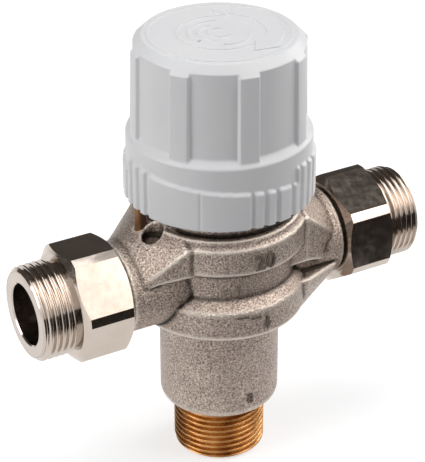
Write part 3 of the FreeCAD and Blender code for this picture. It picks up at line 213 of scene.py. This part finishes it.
def bright_nickel():
    """Turned and plated: mirror-like with faint waviness and a warm tint."""
    m, nt, s = material("bright_nickel")
    tone = ramp(nt, noise(nt, 90.0, 3.0, 0.5), [(0.3, (0.50, 0.43, 0.375)),
                                                (0.7, (0.58, 0.505, 0.445))])
    nt.links.new(tone, s.inputs["Base Color"])
    s.inputs["Metallic"].default_value = 1.0
    nt.links.new(ramp(nt, noise(nt, 500.0, 3.0, 0.6), [(0.3, 0.10), (0.7, 0.20)]),
                 s.inputs["Roughness"])
    first = bump(nt, None, noise(nt, 1500.0, 2.0, 0.5), 0.10, 0.00005)
    bump(nt, s, noise(nt, 160.0, 2.0, 0.5), 0.10, 0.00018, first)
    return m


def raw_brass():
    """Bare turned brass, tarnished brown in patches."""
    m, nt, s = material("raw_brass")
    tone = ramp(nt, noise(nt, 160.0, 4.0, 0.6), [(0.25, (0.20, 0.08, 0.025)),
                                                 (0.5, (0.44, 0.21, 0.07)),
                                                 (0.75, (0.62, 0.35, 0.14))])
    nt.links.new(tone, s.inputs["Base Color"])
    s.inputs["Metallic"].default_value = 1.0
    nt.links.new(ramp(nt, noise(nt, 700.0, 3.0, 0.6), [(0.3, 0.22), (0.7, 0.40)]),
                 s.inputs["Roughness"])
    bump(nt, s, noise(nt, 1400.0, 2.0, 0.5), 0.2, 0.0001)
    return m


def white_plastic():
    """Moulded knob: even white with a hardly visible mottle."""
    m, nt, s = material("white_plastic")
    tone = ramp(nt, noise(nt, 60.0, 3.0, 0.5), [(0.3, (0.715, 0.715, 0.725)),
                                                (0.7, (0.745, 0.745, 0.75))])
    nt.links.new(tone, s.inputs["Base Color"])
    s.inputs["Roughness"].default_value = 0.40
    s.inputs["IOR"].default_value = 1.46
    bump(nt, s, noise(nt, 2600.0, 2.0, 0.5), 0.06, 0.00005)
    return m


def plain(name, color, rough, metallic=0.0):
    """Finish of the inner pieces and seals: one colour, mottled and finely rough."""
    m, nt, s = material(name)
    dark = tuple(c * 0.75 for c in color)
    nt.links.new(ramp(nt, noise(nt, 300.0, 3.0), [(0.3, dark), (0.7, color)]),
                 s.inputs["Base Color"])
    s.inputs["Metallic"].default_value = metallic
    nt.links.new(ramp(nt, noise(nt, 700.0, 3.0), [(0.3, rough * 0.85), (0.7, rough)]),
                 s.inputs["Roughness"])
    bump(nt, s, noise(nt, 1200.0, 3.0), 0.2, 0.00006)
    return m


MATS = {
    "cast_nickel": cast_nickel(),
    "nickel": bright_nickel(),
    "raw_brass": raw_brass(),
    "white_plastic": white_plastic(),
    "black_rubber": plain("black_rubber", (0.025, 0.025, 0.025), 0.6),
    "fibre": plain("fibre", (0.05, 0.045, 0.04), 0.7),
    "steel": plain("steel", (0.62, 0.62, 0.63), 0.3, 1.0),
    "inner_plastic": plain("inner_plastic", (0.05, 0.055, 0.065), 0.45),
    "tarnished_brass": plain("tarnished_brass", (0.24, 0.13, 0.07), 0.5, 1.0),
    "copper_alloy": plain("copper_alloy", (0.72, 0.43, 0.27), 0.3, 1.0),
}
SLOTS = {p["node"]: p["material_slot"] for p in frame["record"]["subparts"]}
for name, obj in NODES.items():
    obj.data.materials.clear()
    obj.data.materials.append(MATS[SLOTS[name]])
NODES["lock_pin"].data.materials[0] = MATS["tarnished_brass"]


# --------------------------------------------------------------------------
# Pieces
# --------------------------------------------------------------------------
def piece(name, mesh, body, slot, stands_for=None, sharp=35.0):
    """Scene piece on a body; edges sharper than `sharp` degrees stay hard."""
    mesh.materials.clear()
    mesh.materials.append(MATS[slot])
    mesh.shade_smooth()
    if sharp:
        mesh.set_sharp_from_angle(angle=math.radians(sharp))
    obj = put(name, mesh)
    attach(obj, body)
    if stands_for:
        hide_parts(stands_for)
    return obj


def merged(node_name):
    """bmesh of a CAD node with its split vertices joined."""
    bm = bmesh.new()
    bm.from_mesh(NODES[node_name].data)
    bmesh.ops.remove_doubles(bm, verts=bm.verts, dist=0.002 * MM)
    return bm


def to_mesh(bm, name):
    """Mesh from a bmesh, which is freed."""
    mesh = bpy.data.meshes.new(name)
    bm.to_mesh(mesh)
    bm.free()
    mesh.validate()
    return mesh


def around(bm, one, two):
    """Quads between two closed loops of as many vertices."""
    count = len(one)
    for j in range(count):
        k = (j + 1) % count
        bm.faces.new((one[j], one[k], two[k], two[j]))


# --------------------------------------------------------------------------
# Threads of the two inlets and the outlet
# --------------------------------------------------------------------------
low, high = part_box("hot_connector")
PIPE_Z = (low.z + high.z) / 2                   # height of the pipe run's axis
INLET_END = -low.x
HEX_END = 49.3 * MM                             # outer face of the hexagons
OUTLET_TOP = 16.0 * MM                          # where the body begins
CREST, DEPTH, PITCH = 13.22 * MM, 1.162 * MM, 1.814 * MM
CORE = 11.9 * MM                                # what is left of the CAD cylinder
CORE_LAP = 0.05 * MM                            # the sleeve goes this deep into it
HEXAGON_EDGE = 11                               # degrees from which edges stay hard


def thread_profile(turn):
    """Radius at a place along the helix, in turns: round crest and root."""
    away = abs(turn - round(turn))
    share = min(max((away - 0.05) / 0.38, 0.0), 1.0)
    return CREST - DEPTH * (0.5 - 0.5 * math.cos(math.pi * share))


def thread(bm, place, start, end, columns=144):
    """Closed sleeve with a right-hand thread along local +Z, put there by place()."""
    steps = (0.0, 0.07, 0.16, 0.26, 0.36, 0.45, 0.55, 0.64, 0.74, 0.84, 0.93)
    per = len(steps)
    turns = int((end - start) / PITCH) + 4
    foot = CREST - DEPTH - 0.03 * MM
    run_out, lead_in = 2.0, 1.1                 # slopes at the start and the end

    def spot(r, u, column):
        a = TAU * column / columns
        return place(Vector((r * math.cos(a), r * math.sin(a), u)))

    def on_thread(row, column):
        k, step = divmod(row, per)
        u = start + PITCH * (k - 2 + steps[step] + column / columns)
        u = min(max(u, start), end)
        r = thread_profile((u - start) / PITCH - column / columns)
        r = min(r, foot + (u - start) * run_out, foot + (end - u) * lead_in)
        return spot(r, u, column)

    rows = turns * per
    grid = [[bm.verts.new(on_thread(i, j)) for i in range(rows)]
            for j in range(columns)]
    for j in range(columns):
        onward = 0 if j < columns - 1 else per
        following = grid[(j + 1) % columns]
        for i in range(rows - 1):
            a, b = grid[j][i], grid[j][i + 1]
            c = following[min(i + 1 + onward, rows - 1)]
            e = following[min(i + onward, rows - 1)]
            if c is e:
                bm.faces.new((a, b, c))
            else:
                bm.faces.new((a, b, c, e))
    # plain inner wall and the two end rings
    inner = CORE - CORE_LAP
    loops = [[bm.verts.new(spot(r, u, j)) for j in range(columns)]
             for r, u in ((foot, start), (inner, start), (inner, end), (foot, end))]
    for one, two in zip(loops, loops[1:]):
        around(bm, one, two)


def threaded(node_name, place, start, end, inside):
    """CAD piece with its plain thread cylinder cut to the core and a real thread.

    inside() gives a point's distance from the thread's axis and the axis point
    beside it, or no distance where there is no thread.
    """
    bm = merged(node_name)
    for v in bm.verts:
        r, axis_point = inside(v.co)
        if r > CORE:
            v.co = axis_point + (v.co - axis_point) * (CORE / r)
    bmesh.ops.recalc_face_normals(bm, faces=bm.faces)
    for e in bm.edges:
        e.smooth = (len(e.link_faces) == 2
                    and e.calc_face_angle(0.0) < math.radians(HEXAGON_EDGE))
    own = bmesh.new()
    thread(own, place, start, end)
    bmesh.ops.remove_doubles(own, verts=own.verts, dist=0.001 * MM)
    bmesh.ops.dissolve_degenerate(own, edges=own.edges, dist=0.0005 * MM)
    bmesh.ops.recalc_face_normals(own, faces=own.faces)
    spare = bpy.data.meshes.new("spare")
    own.to_mesh(spare)
    own.free()
    bm.from_mesh(spare)
    bpy.data.meshes.remove(spare)
    piece(node_name + "_threaded", to_mesh(bm, node_name + "_threaded"), "housing",
          SLOTS[node_name], node_name, sharp=None)


def threaded_inlet(side, sign):
    def place(v):
        return Vector((v.z * sign, v.y * sign, PIPE_Z + v.x))

    def inside(co):
        if co.x * sign < HEX_END + 0.05 * MM:
            return 0.0, co
        centre = Vector((co.x, 0, PIPE_Z))
        return (co - centre).length, centre

    neck = 1.0 * MM
    threaded(side + "_connector", place, HEX_END + neck, INLET_END, inside)


def threaded_outlet():
    def place(v):
        return Vector((v.x, -v.y, -v.z))

    def inside(co):
        if co.z > OUTLET_TOP + 0.01 * MM:
            return 0.0, co
        centre = Vector((0, 0, co.z))
        return (co - centre).length, centre

    threaded("outlet_nipple", place, -OUTLET_TOP, 0.0, inside)


threaded_inlet("hot", -1)
threaded_inlet("cold", 1)
threaded_outlet()


# --------------------------------------------------------------------------
# Cast body: rounded all over like a sand casting, bores left exact
# --------------------------------------------------------------------------
VOXEL = 0.40 * MM
EASE, EASE_ROUNDS = 0.6, 3                      # how far each round of smoothing goes
HOLLOW_ROUNDS, HOLLOW_DEPTH = 5, 0.09 * MM      # smoothing that finds the creases, which the material paints with shade
MAIN_BORE, UPPER_BORE, PIPE_BORE = 12.1 * MM, 16.6 * MM, 10.25 * MM
UPPER_BORE_FROM = 27 * MM                       # above the body's foot
PIPE_BORE_FROM = 8 * MM                         # out from the axis
END_FACE = 0.05 * MM                            # so near an end, a point stays on it


def neighbours_mean(co, edges):
    """Mean place of each vertex's neighbours."""
    total = np.zeros_like(co)
    for axis in range(3):
        total[:, axis] = (np.bincount(edges[:, 0], co[edges[:, 1], axis], len(co))
                          + np.bincount(edges[:, 1], co[edges[:, 0], axis], len(co)))
    count = np.bincount(edges.ravel(), minlength=len(co)).astype(float)
    return total / np.maximum(count, 1)[:, None]


def read(mesh, kind, what, width, number=float):
    """One value of every mesh item as an array."""
    items = getattr(mesh, kind)
    flat = np.zeros(len(items) * width, number)
    items.foreach_get(what, flat)
    return flat.reshape(-1, width) if width > 1 else flat


def cast_skin():
    """The casting's outside remeshed and eased, around the solid's own bores."""
    bm = merged("valve_body")
    tree = BVHTree.FromBMesh(bm)
    low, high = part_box("valve_body")
    pin_low, pin_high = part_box("lock_pin")
    pin = (pin_low + pin_high) / 2
    pin_rad = (pin_high.x - pin_low.x) / 2 + 0.15 * MM

    def bored(at):
        """In one of the machined bores, which keep their exact shape."""
        away = math.hypot(at.x, at.y)
        return (away < MAIN_BORE
                or (away < UPPER_BORE and at.z > low.z + UPPER_BORE_FROM)
                or (abs(at.x) > PIPE_BORE_FROM
                    and math.hypot(at.y, at.z - PIPE_Z) < PIPE_BORE)
                or math.hypot(at.x - pin.x, at.y - pin.y) < pin_rad)

    source = put("cast_source", to_mesh(bm.copy(), "cast_source"))
    mod = source.modifiers.new("skin", "REMESH")
    mod.mode = "VOXEL"
    mod.voxel_size = VOXEL
    graph = bpy.context.evaluated_depsgraph_get()
    mesh = bpy.data.meshes.new_from_object(source.evaluated_get(graph))
    bpy.data.objects.remove(source)
    co = read(mesh, "vertices", "co", 3)
    edges = read(mesh, "edges", "vertices", 2, np.int32)
    for _ in range(EASE_ROUNDS):
        co += (neighbours_mean(co, edges) - co) * EASE
    exact = np.zeros(len(co), bool)
    for i, at in enumerate(co.copy()):
        near = tree.find_nearest(Vector(at))[0]
        exact[i] = bored(near)
        if (exact[i] or abs(near.x) > high.x - END_FACE
                or near.z > high.z - END_FACE or near.z < low.z + END_FACE):
            co[i] = near
    mesh.vertices.foreach_set("co", co.ravel())
    mesh.update()
    normal = read(mesh, "vertices", "normal", 3)
    soft = co.copy()
    for _ in range(HOLLOW_ROUNDS):
        soft += (neighbours_mean(soft, edges) - soft) * EASE
    # concavity: cast_nickel paints shade into the creases found here and paints convex
    # edges lighter
    hollow = ((soft - co) * normal).sum(1) / HOLLOW_DEPTH
    layer = mesh.attributes.new(HOLLOW, "FLOAT", "POINT")
    layer.data.foreach_set("value", np.clip(0.5 + 0.5 * hollow, 0, 1))
    # the bores come from the solid itself
    skin = bmesh.new()
    skin.from_mesh(mesh)
    skin.verts.ensure_lookup_table()
    bmesh.ops.delete(skin, geom=[v for v in skin.verts if exact[v.index]
                                 and all(exact[e.other_vert(v).index]
                                         for e in v.link_edges)], context="VERTS")
    bmesh.ops.delete(bm, geom=[f for f in bm.faces
                               if not bored(f.calc_center_median())],
                     context="FACES")
    spare = to_mesh(bm, "bores")
    skin.from_mesh(spare)
    bpy.data.meshes.remove(spare)
    bpy.data.meshes.remove(mesh)
    piece("valve_body_cast", to_mesh(skin, "valve_body_cast"), "housing",
          "cast_nickel", "valve_body", sharp=60.0)


cast_skin()


# --------------------------------------------------------------------------
# Knob: the moulding's outside sampled from its solid, with eased edges
# --------------------------------------------------------------------------
RIM_RAD, RIM_SLOPE = 20.5 * MM, 1.02            # the flat top, and the slope round it
RELIEF = 0.3 * MM                               # the top is sunk by the relief's height
COLUMNS = 640
SHOULDER = 20.2 * MM                            # above the foot: skirt and panels end
FINE_ROW, COARSE_ROW = 0.30 * MM, 1.1 * MM
SKIRT_BORE, CAP_BORE = 23.35 * MM, 21.6 * MM    # inner walls kept from the solid
SKIRT_TALL, ROOF_THICK = 19.4 * MM, 2.35 * MM
HUB_RAD = 12 * MM


def knob_rows(foot, top):
    """Rays in one half plane, from a far point (r, z) to a near one."""
    rim_z, beyond = top - 3.6 * MM, 30 * MM
    rows = []
    z = foot + 0.02 * MM
    while z < foot + SHOULDER:
        rows.append((beyond, z, 0.0, z))
        z += FINE_ROW
    z = foot + SHOULDER
    while z < rim_z:
        rows.append((beyond, z, 0.0, z))
        z += COARSE_ROW if z < rim_z - 2.5 * MM else FINE_ROW
    for k in range(26):
        a = math.radians(90.0 * k / 25)
        rows.append((RIM_RAD + 9 * MM * math.cos(a), rim_z + 9 * MM * math.sin(a),
                     RIM_RAD, rim_z))
    for k in range(1, 9):
        r = RIM_RAD * (1 - k / 8.0) + 0.05 * MM
        rows.append((r, top + 5 * MM, r, rim_z))
    return rows


def knob_skin():
    """The moulding's outside as a fine net, with the solid's hub, webs and walls."""
    bm = merged("adjusting_knob")
    tree = BVHTree.FromBMesh(bm)
    low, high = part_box("adjusting_knob")
    top, foot = high.z, low.z
    rows = knob_rows(foot, top)

    def hit(row, turn):
        r1, z1, r0, z0 = row
        c, s = math.cos(turn), math.sin(turn)
        begin = Vector((r1 * c, r1 * s, z1))
        to = Vector((r0 * c, r0 * s, z0)) - begin
        place = tree.ray_cast(begin, to.normalized(), to.length * 1.2)[0]
        return math.hypot(place.x, place.y), place.z

    step = TAU / COLUMNS
    sides = np.zeros((len(rows), COLUMNS, 2))
    for i, row in enumerate(rows):
        for j in range(COLUMNS):
            one = hit(row, (j - 0.25) * step)
            two = hit(row, (j + 0.25) * step)
            r, z = (one[0] + two[0]) / 2, (one[1] + two[1]) / 2
            sides[i, j] = (min(r, RIM_RAD + (top - z) * RIM_SLOPE),
                           min(z, top - RELIEF))
    eased = (np.roll(sides, 1, 1) + np.roll(sides, -1, 1) + sides * 2) / 4
    again = eased.copy()
    again[1:-1] = (eased[:-2] + eased[2:] + eased[1:-1] * 2) / 4
    sparse = [i for i in range(1, len(rows) - 1)
              if abs(rows[i + 1][1] - rows[i - 1][1]) > 1.0 * MM]
    again[sparse] = eased[sparse]
    verts, faces = [], []
    for i in range(len(rows)):
        for j in range(COLUMNS):
            r, z = again[i, j]
            verts.append((r * math.cos(j * step), r * math.sin(j * step), z))
    for i in range(len(rows) - 1):
        for j in range(COLUMNS):
            k = (j + 1) % COLUMNS
            faces.append((i * COLUMNS + j, i * COLUMNS + k, (i + 1) * COLUMNS + k,
                          (i + 1) * COLUMNS + j))
    last = (len(rows) - 1) * COLUMNS
    verts.append((0, 0, top - RELIEF))
    for j in range(COLUMNS):
        faces.append((last + j, last + (j + 1) % COLUMNS, len(verts) - 1))
    # ring under the skirt, out to the moulding's edge
    inner = SKIRT_BORE - 0.05 * MM
    ring = len(verts)
    for j in range(COLUMNS):
        verts.append((inner * math.cos(j * step), inner * math.sin(j * step), foot))
    for j in range(COLUMNS):
        k = (j + 1) % COLUMNS
        faces.append((k, j, ring + j, ring + k))
    outside = bpy.data.meshes.new("knob_outside")
    outside.from_pydata(verts, [], faces)
    # keep the solid's hub, webs and inner walls as they are
    roof = top - ROOF_THICK
    drop = []
    for f in bm.faces:
        at = f.calc_center_median()
        r = math.hypot(at.x, at.y)
        limit = SKIRT_BORE if at.z < foot + SKIRT_TALL else CAP_BORE
        if r > limit or at.z > roof or (at.z < foot + 0.01 * MM and r > HUB_RAD):
            drop.append(f)
    bmesh.ops.delete(bm, geom=drop, context="FACES")
    bm.from_mesh(outside)
    bpy.data.meshes.remove(outside)
    piece("adjusting_knob_moulded", to_mesh(bm, "adjusting_knob_moulded"),
          "knob", "white_plastic", "adjusting_knob", sharp=50.0)


knob_skin()


# --------------------------------------------------------------------------
# Springs behind the check valves, at their CAD length
# --------------------------------------------------------------------------
def check_spring(side):
    """The spring behind a check valve, copied at its CAD length; nothing here shortens
    it as the poppet opens.
    """
    node, joint = side + "_check_spring", side + "_check_travel"
    obj = piece(node + "_coiled", NODES[node].data.copy(), "housing", SLOTS[node],
                stands_for=node)
    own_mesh(obj)


# --------------------------------------------------------------------------
# Raised figures: plain numbers, an arrow and casting marks
# --------------------------------------------------------------------------
SUNK = 0.3 * MM                                 # how deep a figure's foot lies
FIGURE_PAINTED_SHADE = 0.74                              # painted shade on the raised figures, dark enough to read, as HOLLOW says


def prism(bm, outline, height, place):
    """Low raised figure over a closed outline, its rim a little narrower on top."""
    centre = sum((Vector(p) for p in outline), Vector((0, 0))) / len(outline)
    inset = 0.10 * MM
    rings = []
    for rise, shrink in ((-SUNK, 0.0), (height - inset, 0.0), (height, inset)):
        ring = []
        for p in outline:
            away = Vector(p) - centre
            q = centre + away * max(1 - shrink / max(away.length, 1e-6), 0.2)
            ring.append(bm.verts.new(place(q.x, q.y, rise)))
        rings.append(ring)
    for one, two in zip(rings, rings[1:]):
        around(bm, one, two)
    bm.faces.new(rings[-1])
    bm.faces.new(list(reversed(rings[0])))


def number(bm, text, size, height, place):
    """Raised plain figures."""
    curve = bpy.data.curves.new("figure", "FONT")
    curve.body = text
    curve.size = size
    curve.align_x = "CENTER"
    curve.extrude = (height + SUNK) / 2
    curve.bevel_depth = 0.08 * MM
    curve.bevel_resolution = 1
    curve.resolution_u = 5
    holder = put("figure", curve)
    graph = bpy.context.evaluated_depsgraph_get()
    mesh = bpy.data.meshes.new_from_object(holder.evaluated_get(graph))
    bpy.data.objects.remove(holder)
    for v in mesh.vertices:
        rise = v.co.z + (height - SUNK) / 2
        v.co = place(v.co.x, v.co.y - size * 0.35, rise)
    bm.from_mesh(mesh)
    bpy.data.meshes.remove(mesh)


def on_drum(azimuth, z, rad):
    """Place for a figure on a drum or barrel, upright."""
    def place(x, y, rise):
        a = math.radians(azimuth) + x / rad
        return Vector(((rad + rise) * math.cos(a), (rad + rise) * math.sin(a), z + y))
    return place


def on_pipe(x0, down, rad):
    """Place for a figure on the pipe's front, `down` degrees from its top."""
    def place(x, y, rise):
        a = math.radians(down) - y / rad
        return Vector((x0 + x, -(rad + rise) * math.sin(a),
                       PIPE_Z + (rad + rise) * math.cos(a)))
    return place


def bar(bm, length, width, height, place):
    """Raised bar, in steps so that it follows a round wall."""
    a, b = length / 2, width / 2
    steps = [(-a + length * k / 6, -b) for k in range(7)]
    prism(bm, steps + [(x, b) for x, _ in reversed(steps)], height, place)


def arrow(bm, length, width, height, place):
    """Downward flow arrow."""
    a, b, c = length / 2, width / 2, width / 6
    prism(bm, [(-c, a), (-c, -a * 0.1), (-b, -a * 0.1), (0, -a), (b, -a * 0.1),
               (c, -a * 0.1), (c, a)], height, place)


def marks():
    """Casting marks on the body."""
    bm = bmesh.new()
    number(bm, "20", 6.4 * MM, 0.40 * MM, on_drum(-88.5, 71.9 * MM, 23.95 * MM))
    arrow(bm, 4.4 * MM, 2.6 * MM, 0.35 * MM, on_drum(-86.5, 52.4 * MM, 24.0 * MM))
    bar(bm, 3.4 * MM, 0.55 * MM, 0.25 * MM, on_drum(-104, 55.4 * MM, 24.0 * MM))
    bar(bm, 3.0 * MM, 0.55 * MM, 0.25 * MM, on_drum(-95, 54.6 * MM, 24.0 * MM))
    number(bm, "8", 4.2 * MM, 0.30 * MM, on_drum(-88.5, 23.0 * MM, 17.05 * MM))
    bar(bm, 3.0 * MM, 0.6 * MM, 0.25 * MM, on_pipe(-28.1 * MM, 86, 12.8 * MM))
    number(bm, "2", 4.6 * MM, 0.45 * MM, on_pipe(27.0 * MM, 77.8, 13.1 * MM))
    mesh = to_mesh(bm, "body_marks")
    # painted shade: the raised figures are darkened all over through HOLLOW
    layer = mesh.attributes.new(HOLLOW, "FLOAT", "POINT")
    layer.data.foreach_set("value", [FIGURE_PAINTED_SHADE] * len(mesh.vertices))
    piece("body_marks", mesh, "housing", "cast_nickel")


def top_relief():
    """Two-way turning arrow and fine rings on the knob's top."""
    bm = bmesh.new()
    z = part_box("adjusting_knob")[1].z - RELIEF
    band = (-62, 48)                            # degrees, from arrowhead to arrowhead
    tall = 0.28 * MM

    def flat(x, y, rise):
        return Vector((x, y, z + rise))

    def arc(r0, r1, start, end, height, steps=48):
        """Raised band from one radius to another, with leaning sides."""
        for k in range(steps):
            turns = [math.radians(start + (end - start) * (k + e) / steps)
                     for e in (0, 1)]

            def spot(r, e, rise):
                return bm.verts.new(flat(r * math.cos(turns[e]),
                                         r * math.sin(turns[e]), rise))

            bm.faces.new([spot(r0, 0, height), spot(r1, 0, height),
                          spot(r1, 1, height), spot(r0, 1, height)])
            for r, lean in ((r0, -0.12 * MM), (r1, 0.12 * MM)):
                bm.faces.new([spot(r, 0, height), spot(r, 1, height),
                              spot(r + lean, 1, -0.1 * MM),
                              spot(r + lean, 0, -0.1 * MM)])
        bmesh.ops.remove_doubles(bm, verts=bm.verts, dist=0.001 * MM)

    arc(12.4 * MM, 16.9 * MM, *band, tall)
    for turn, sign in ((band[1], 1), (band[0], -1)):
        a = math.radians(turn)
        out = Vector((math.cos(a), math.sin(a)))
        on = Vector((-math.sin(a), math.cos(a))) * sign
        tip = out * 14.2 * MM + on * 5.5 * MM
        prism(bm, [tuple(out * 18.4 * MM), tuple(tip), tuple(out * 10.9 * MM)],
              tall, flat)
    arc(10.9 * MM, 11.7 * MM, 60, 285, 0.24 * MM)
    arc(18.8 * MM, 19.4 * MM, 0, 360, 0.18 * MM, 96)
    for inner, start, end in ((7.6, 70, 200), (4.9, 95, 235), (2.2, 60, 300),
                              (7.6, 250, 330)):
        arc(inner * MM, (inner + 1.1) * MM, start, end, 0.26 * MM, 24)
    bmesh.ops.recalc_face_normals(bm, faces=bm.faces)
    piece("knob_relief", to_mesh(bm, "knob_relief"), "knob", "white_plastic")


marks()
top_relief()


# --------------------------------------------------------------------------
# Studio
# --------------------------------------------------------------------------
DARK = (0.02, 0.018, 0.016)
DOME_UP, LAMP_AIM = 0.06, 0.07                  # heights that domes and lamps centre on
FLOOR_HALF = 3


def dome(name, azimuths, rises, radius, color, glow):
    """Part of a dome that only reflections see: a dark card or a bright panel."""
    verts, faces = [], []
    across, up = 16, 10
    for i in range(up + 1):
        rise = rises[0] + (rises[1] - rises[0]) * i / up
        for j in range(across + 1):
            azimuth = azimuths[0] + (azimuths[1] - azimuths[0]) * j / across
            verts.append(toward(azimuth, rise) * radius + Vector((0, 0, DOME_UP)))
    for i in range(up):
        for j in range(across):
            a = i * (across + 1) + j
            faces.append((a, a + 1, a + across + 2, a + across + 1))
    mesh = bpy.data.meshes.new(name)
    mesh.from_pydata(verts, [], faces)
    obj = put(name, mesh)
    m, nt, s = material(name)
    s.inputs["Base Color"].default_value = (*color, 1)
    s.inputs["Roughness"].default_value = 1.0
    s.inputs["Specular IOR Level"].default_value = 0.0
    s.inputs["Emission Color"].default_value = (1, 0.91, 0.84, 1)
    s.inputs["Emission Strength"].default_value = glow
    mesh.materials.append(m)
    obj.visible_camera = False
    obj.visible_diffuse = False
    obj.visible_shadow = False
    obj.visible_transmission = False


def lamp(name, azimuth, rise, away, energy, size, size_y):
    """Area lamp that looks at the object from a direction and distance."""
    aim = Vector((0, 0, LAMP_AIM))
    place = aim + away * toward(azimuth, rise)
    data = bpy.data.lights.new(name, "AREA")
    data.energy = energy
    data.shape = "RECTANGLE"
    data.size = size
    data.size_y = size_y
    obj = put(name, data)
    obj.location = place
    obj.rotation_euler = (place - aim).to_track_quat("Z", "Y").to_euler()


def seen_by(nt, plain_shader, seen_shader, output, *rays):
    """The output takes seen_shader for these kinds of ray, or else plain_shader."""
    path = nt.nodes.new("ShaderNodeLightPath")
    choice = path.outputs[rays[0]]
    for ray in rays[1:]:
        either = node(nt, "ShaderNodeMath", operation="MAXIMUM")
        nt.links.new(choice, either.inputs[0])
        nt.links.new(path.outputs[ray], either.inputs[1])
        choice = either.outputs[0]
    pick = nt.nodes.new("ShaderNodeMixShader")
    nt.links.new(choice, pick.inputs[0])
    nt.links.new(plain_shader.outputs[0], pick.inputs[1])
    nt.links.new(seen_shader.outputs[0], pick.inputs[2])
    nt.links.new(pick.outputs[0], nt.nodes[output].inputs["Surface"])


def surroundings():
    """Dim light all round, but plain white to camera and reflections."""
    world = bpy.data.worlds.new("world")
    bpy.context.scene.world = world
    world.use_nodes = True
    nt = world.node_tree
    back = nt.nodes["Background"]
    back.inputs["Color"].default_value = (0.94, 0.95, 1.0, 1)
    back.inputs["Strength"].default_value = 0.14
    white = nt.nodes.new("ShaderNodeBackground")
    white.inputs["Color"].default_value = (1, 1, 1, 1)
    white.inputs["Strength"].default_value = 1.0
    seen_by(nt, back, white, "World Output", "Is Camera Ray", "Is Glossy Ray",
            "Is Transmission Ray")


def ground():
    """Pale floor that shows white but keeps the object's shadow."""
    a = FLOOR_HALF
    mesh = bpy.data.meshes.new("floor")
    mesh.from_pydata([(-a, -a, 0), (a, -a, 0), (a, a, 0), (-a, a, 0)], [],
                     [(0, 1, 2, 3)])
    floor = put("floor", mesh)
    m, nt, s = material("floor")
    s.inputs["Base Color"].default_value = (0.52, 0.52, 0.52, 1)
    s.inputs["Roughness"].default_value = 0.8
    glow = node(nt, "ShaderNodeEmission", Strength=0.62)
    both = nt.nodes.new("ShaderNodeAddShader")
    nt.links.new(s.outputs[0], both.inputs[0])
    nt.links.new(glow.outputs[0], both.inputs[1])
    seen_by(nt, s, both, "Material Output", "Is Camera Ray", "Is Glossy Ray")
    mesh.materials.append(m)


def studio():
    surroundings()
    ground()
    lamp("key", -46, 49, 0.9, 2.9, 0.42, 0.8)
    lamp("left", 174, 30, 0.9, 4.1, 0.5, 0.7)
    lamp("right", 5, 22, 0.9, 3.4, 0.4, 0.6)
    lamp("top", 90, 86, 1.0, 3.8, 0.7, 0.6)
    dome("dark_back", (0, 165), (0, 78), 1.6, DARK, 0.08)
    dome("dark_front", (-135, 5), (-22, 10), 0.155, DARK, 0.015)
    dome("dark_low", (-130, -55), (-36, -18), 0.1, DARK, 0.02)
    dome("bright_front", (-82, -10), (22, 66), 1.5, (0.5, 0.5, 0.5), 1.6)


check_spring("hot")
check_spring("cold")
studio()
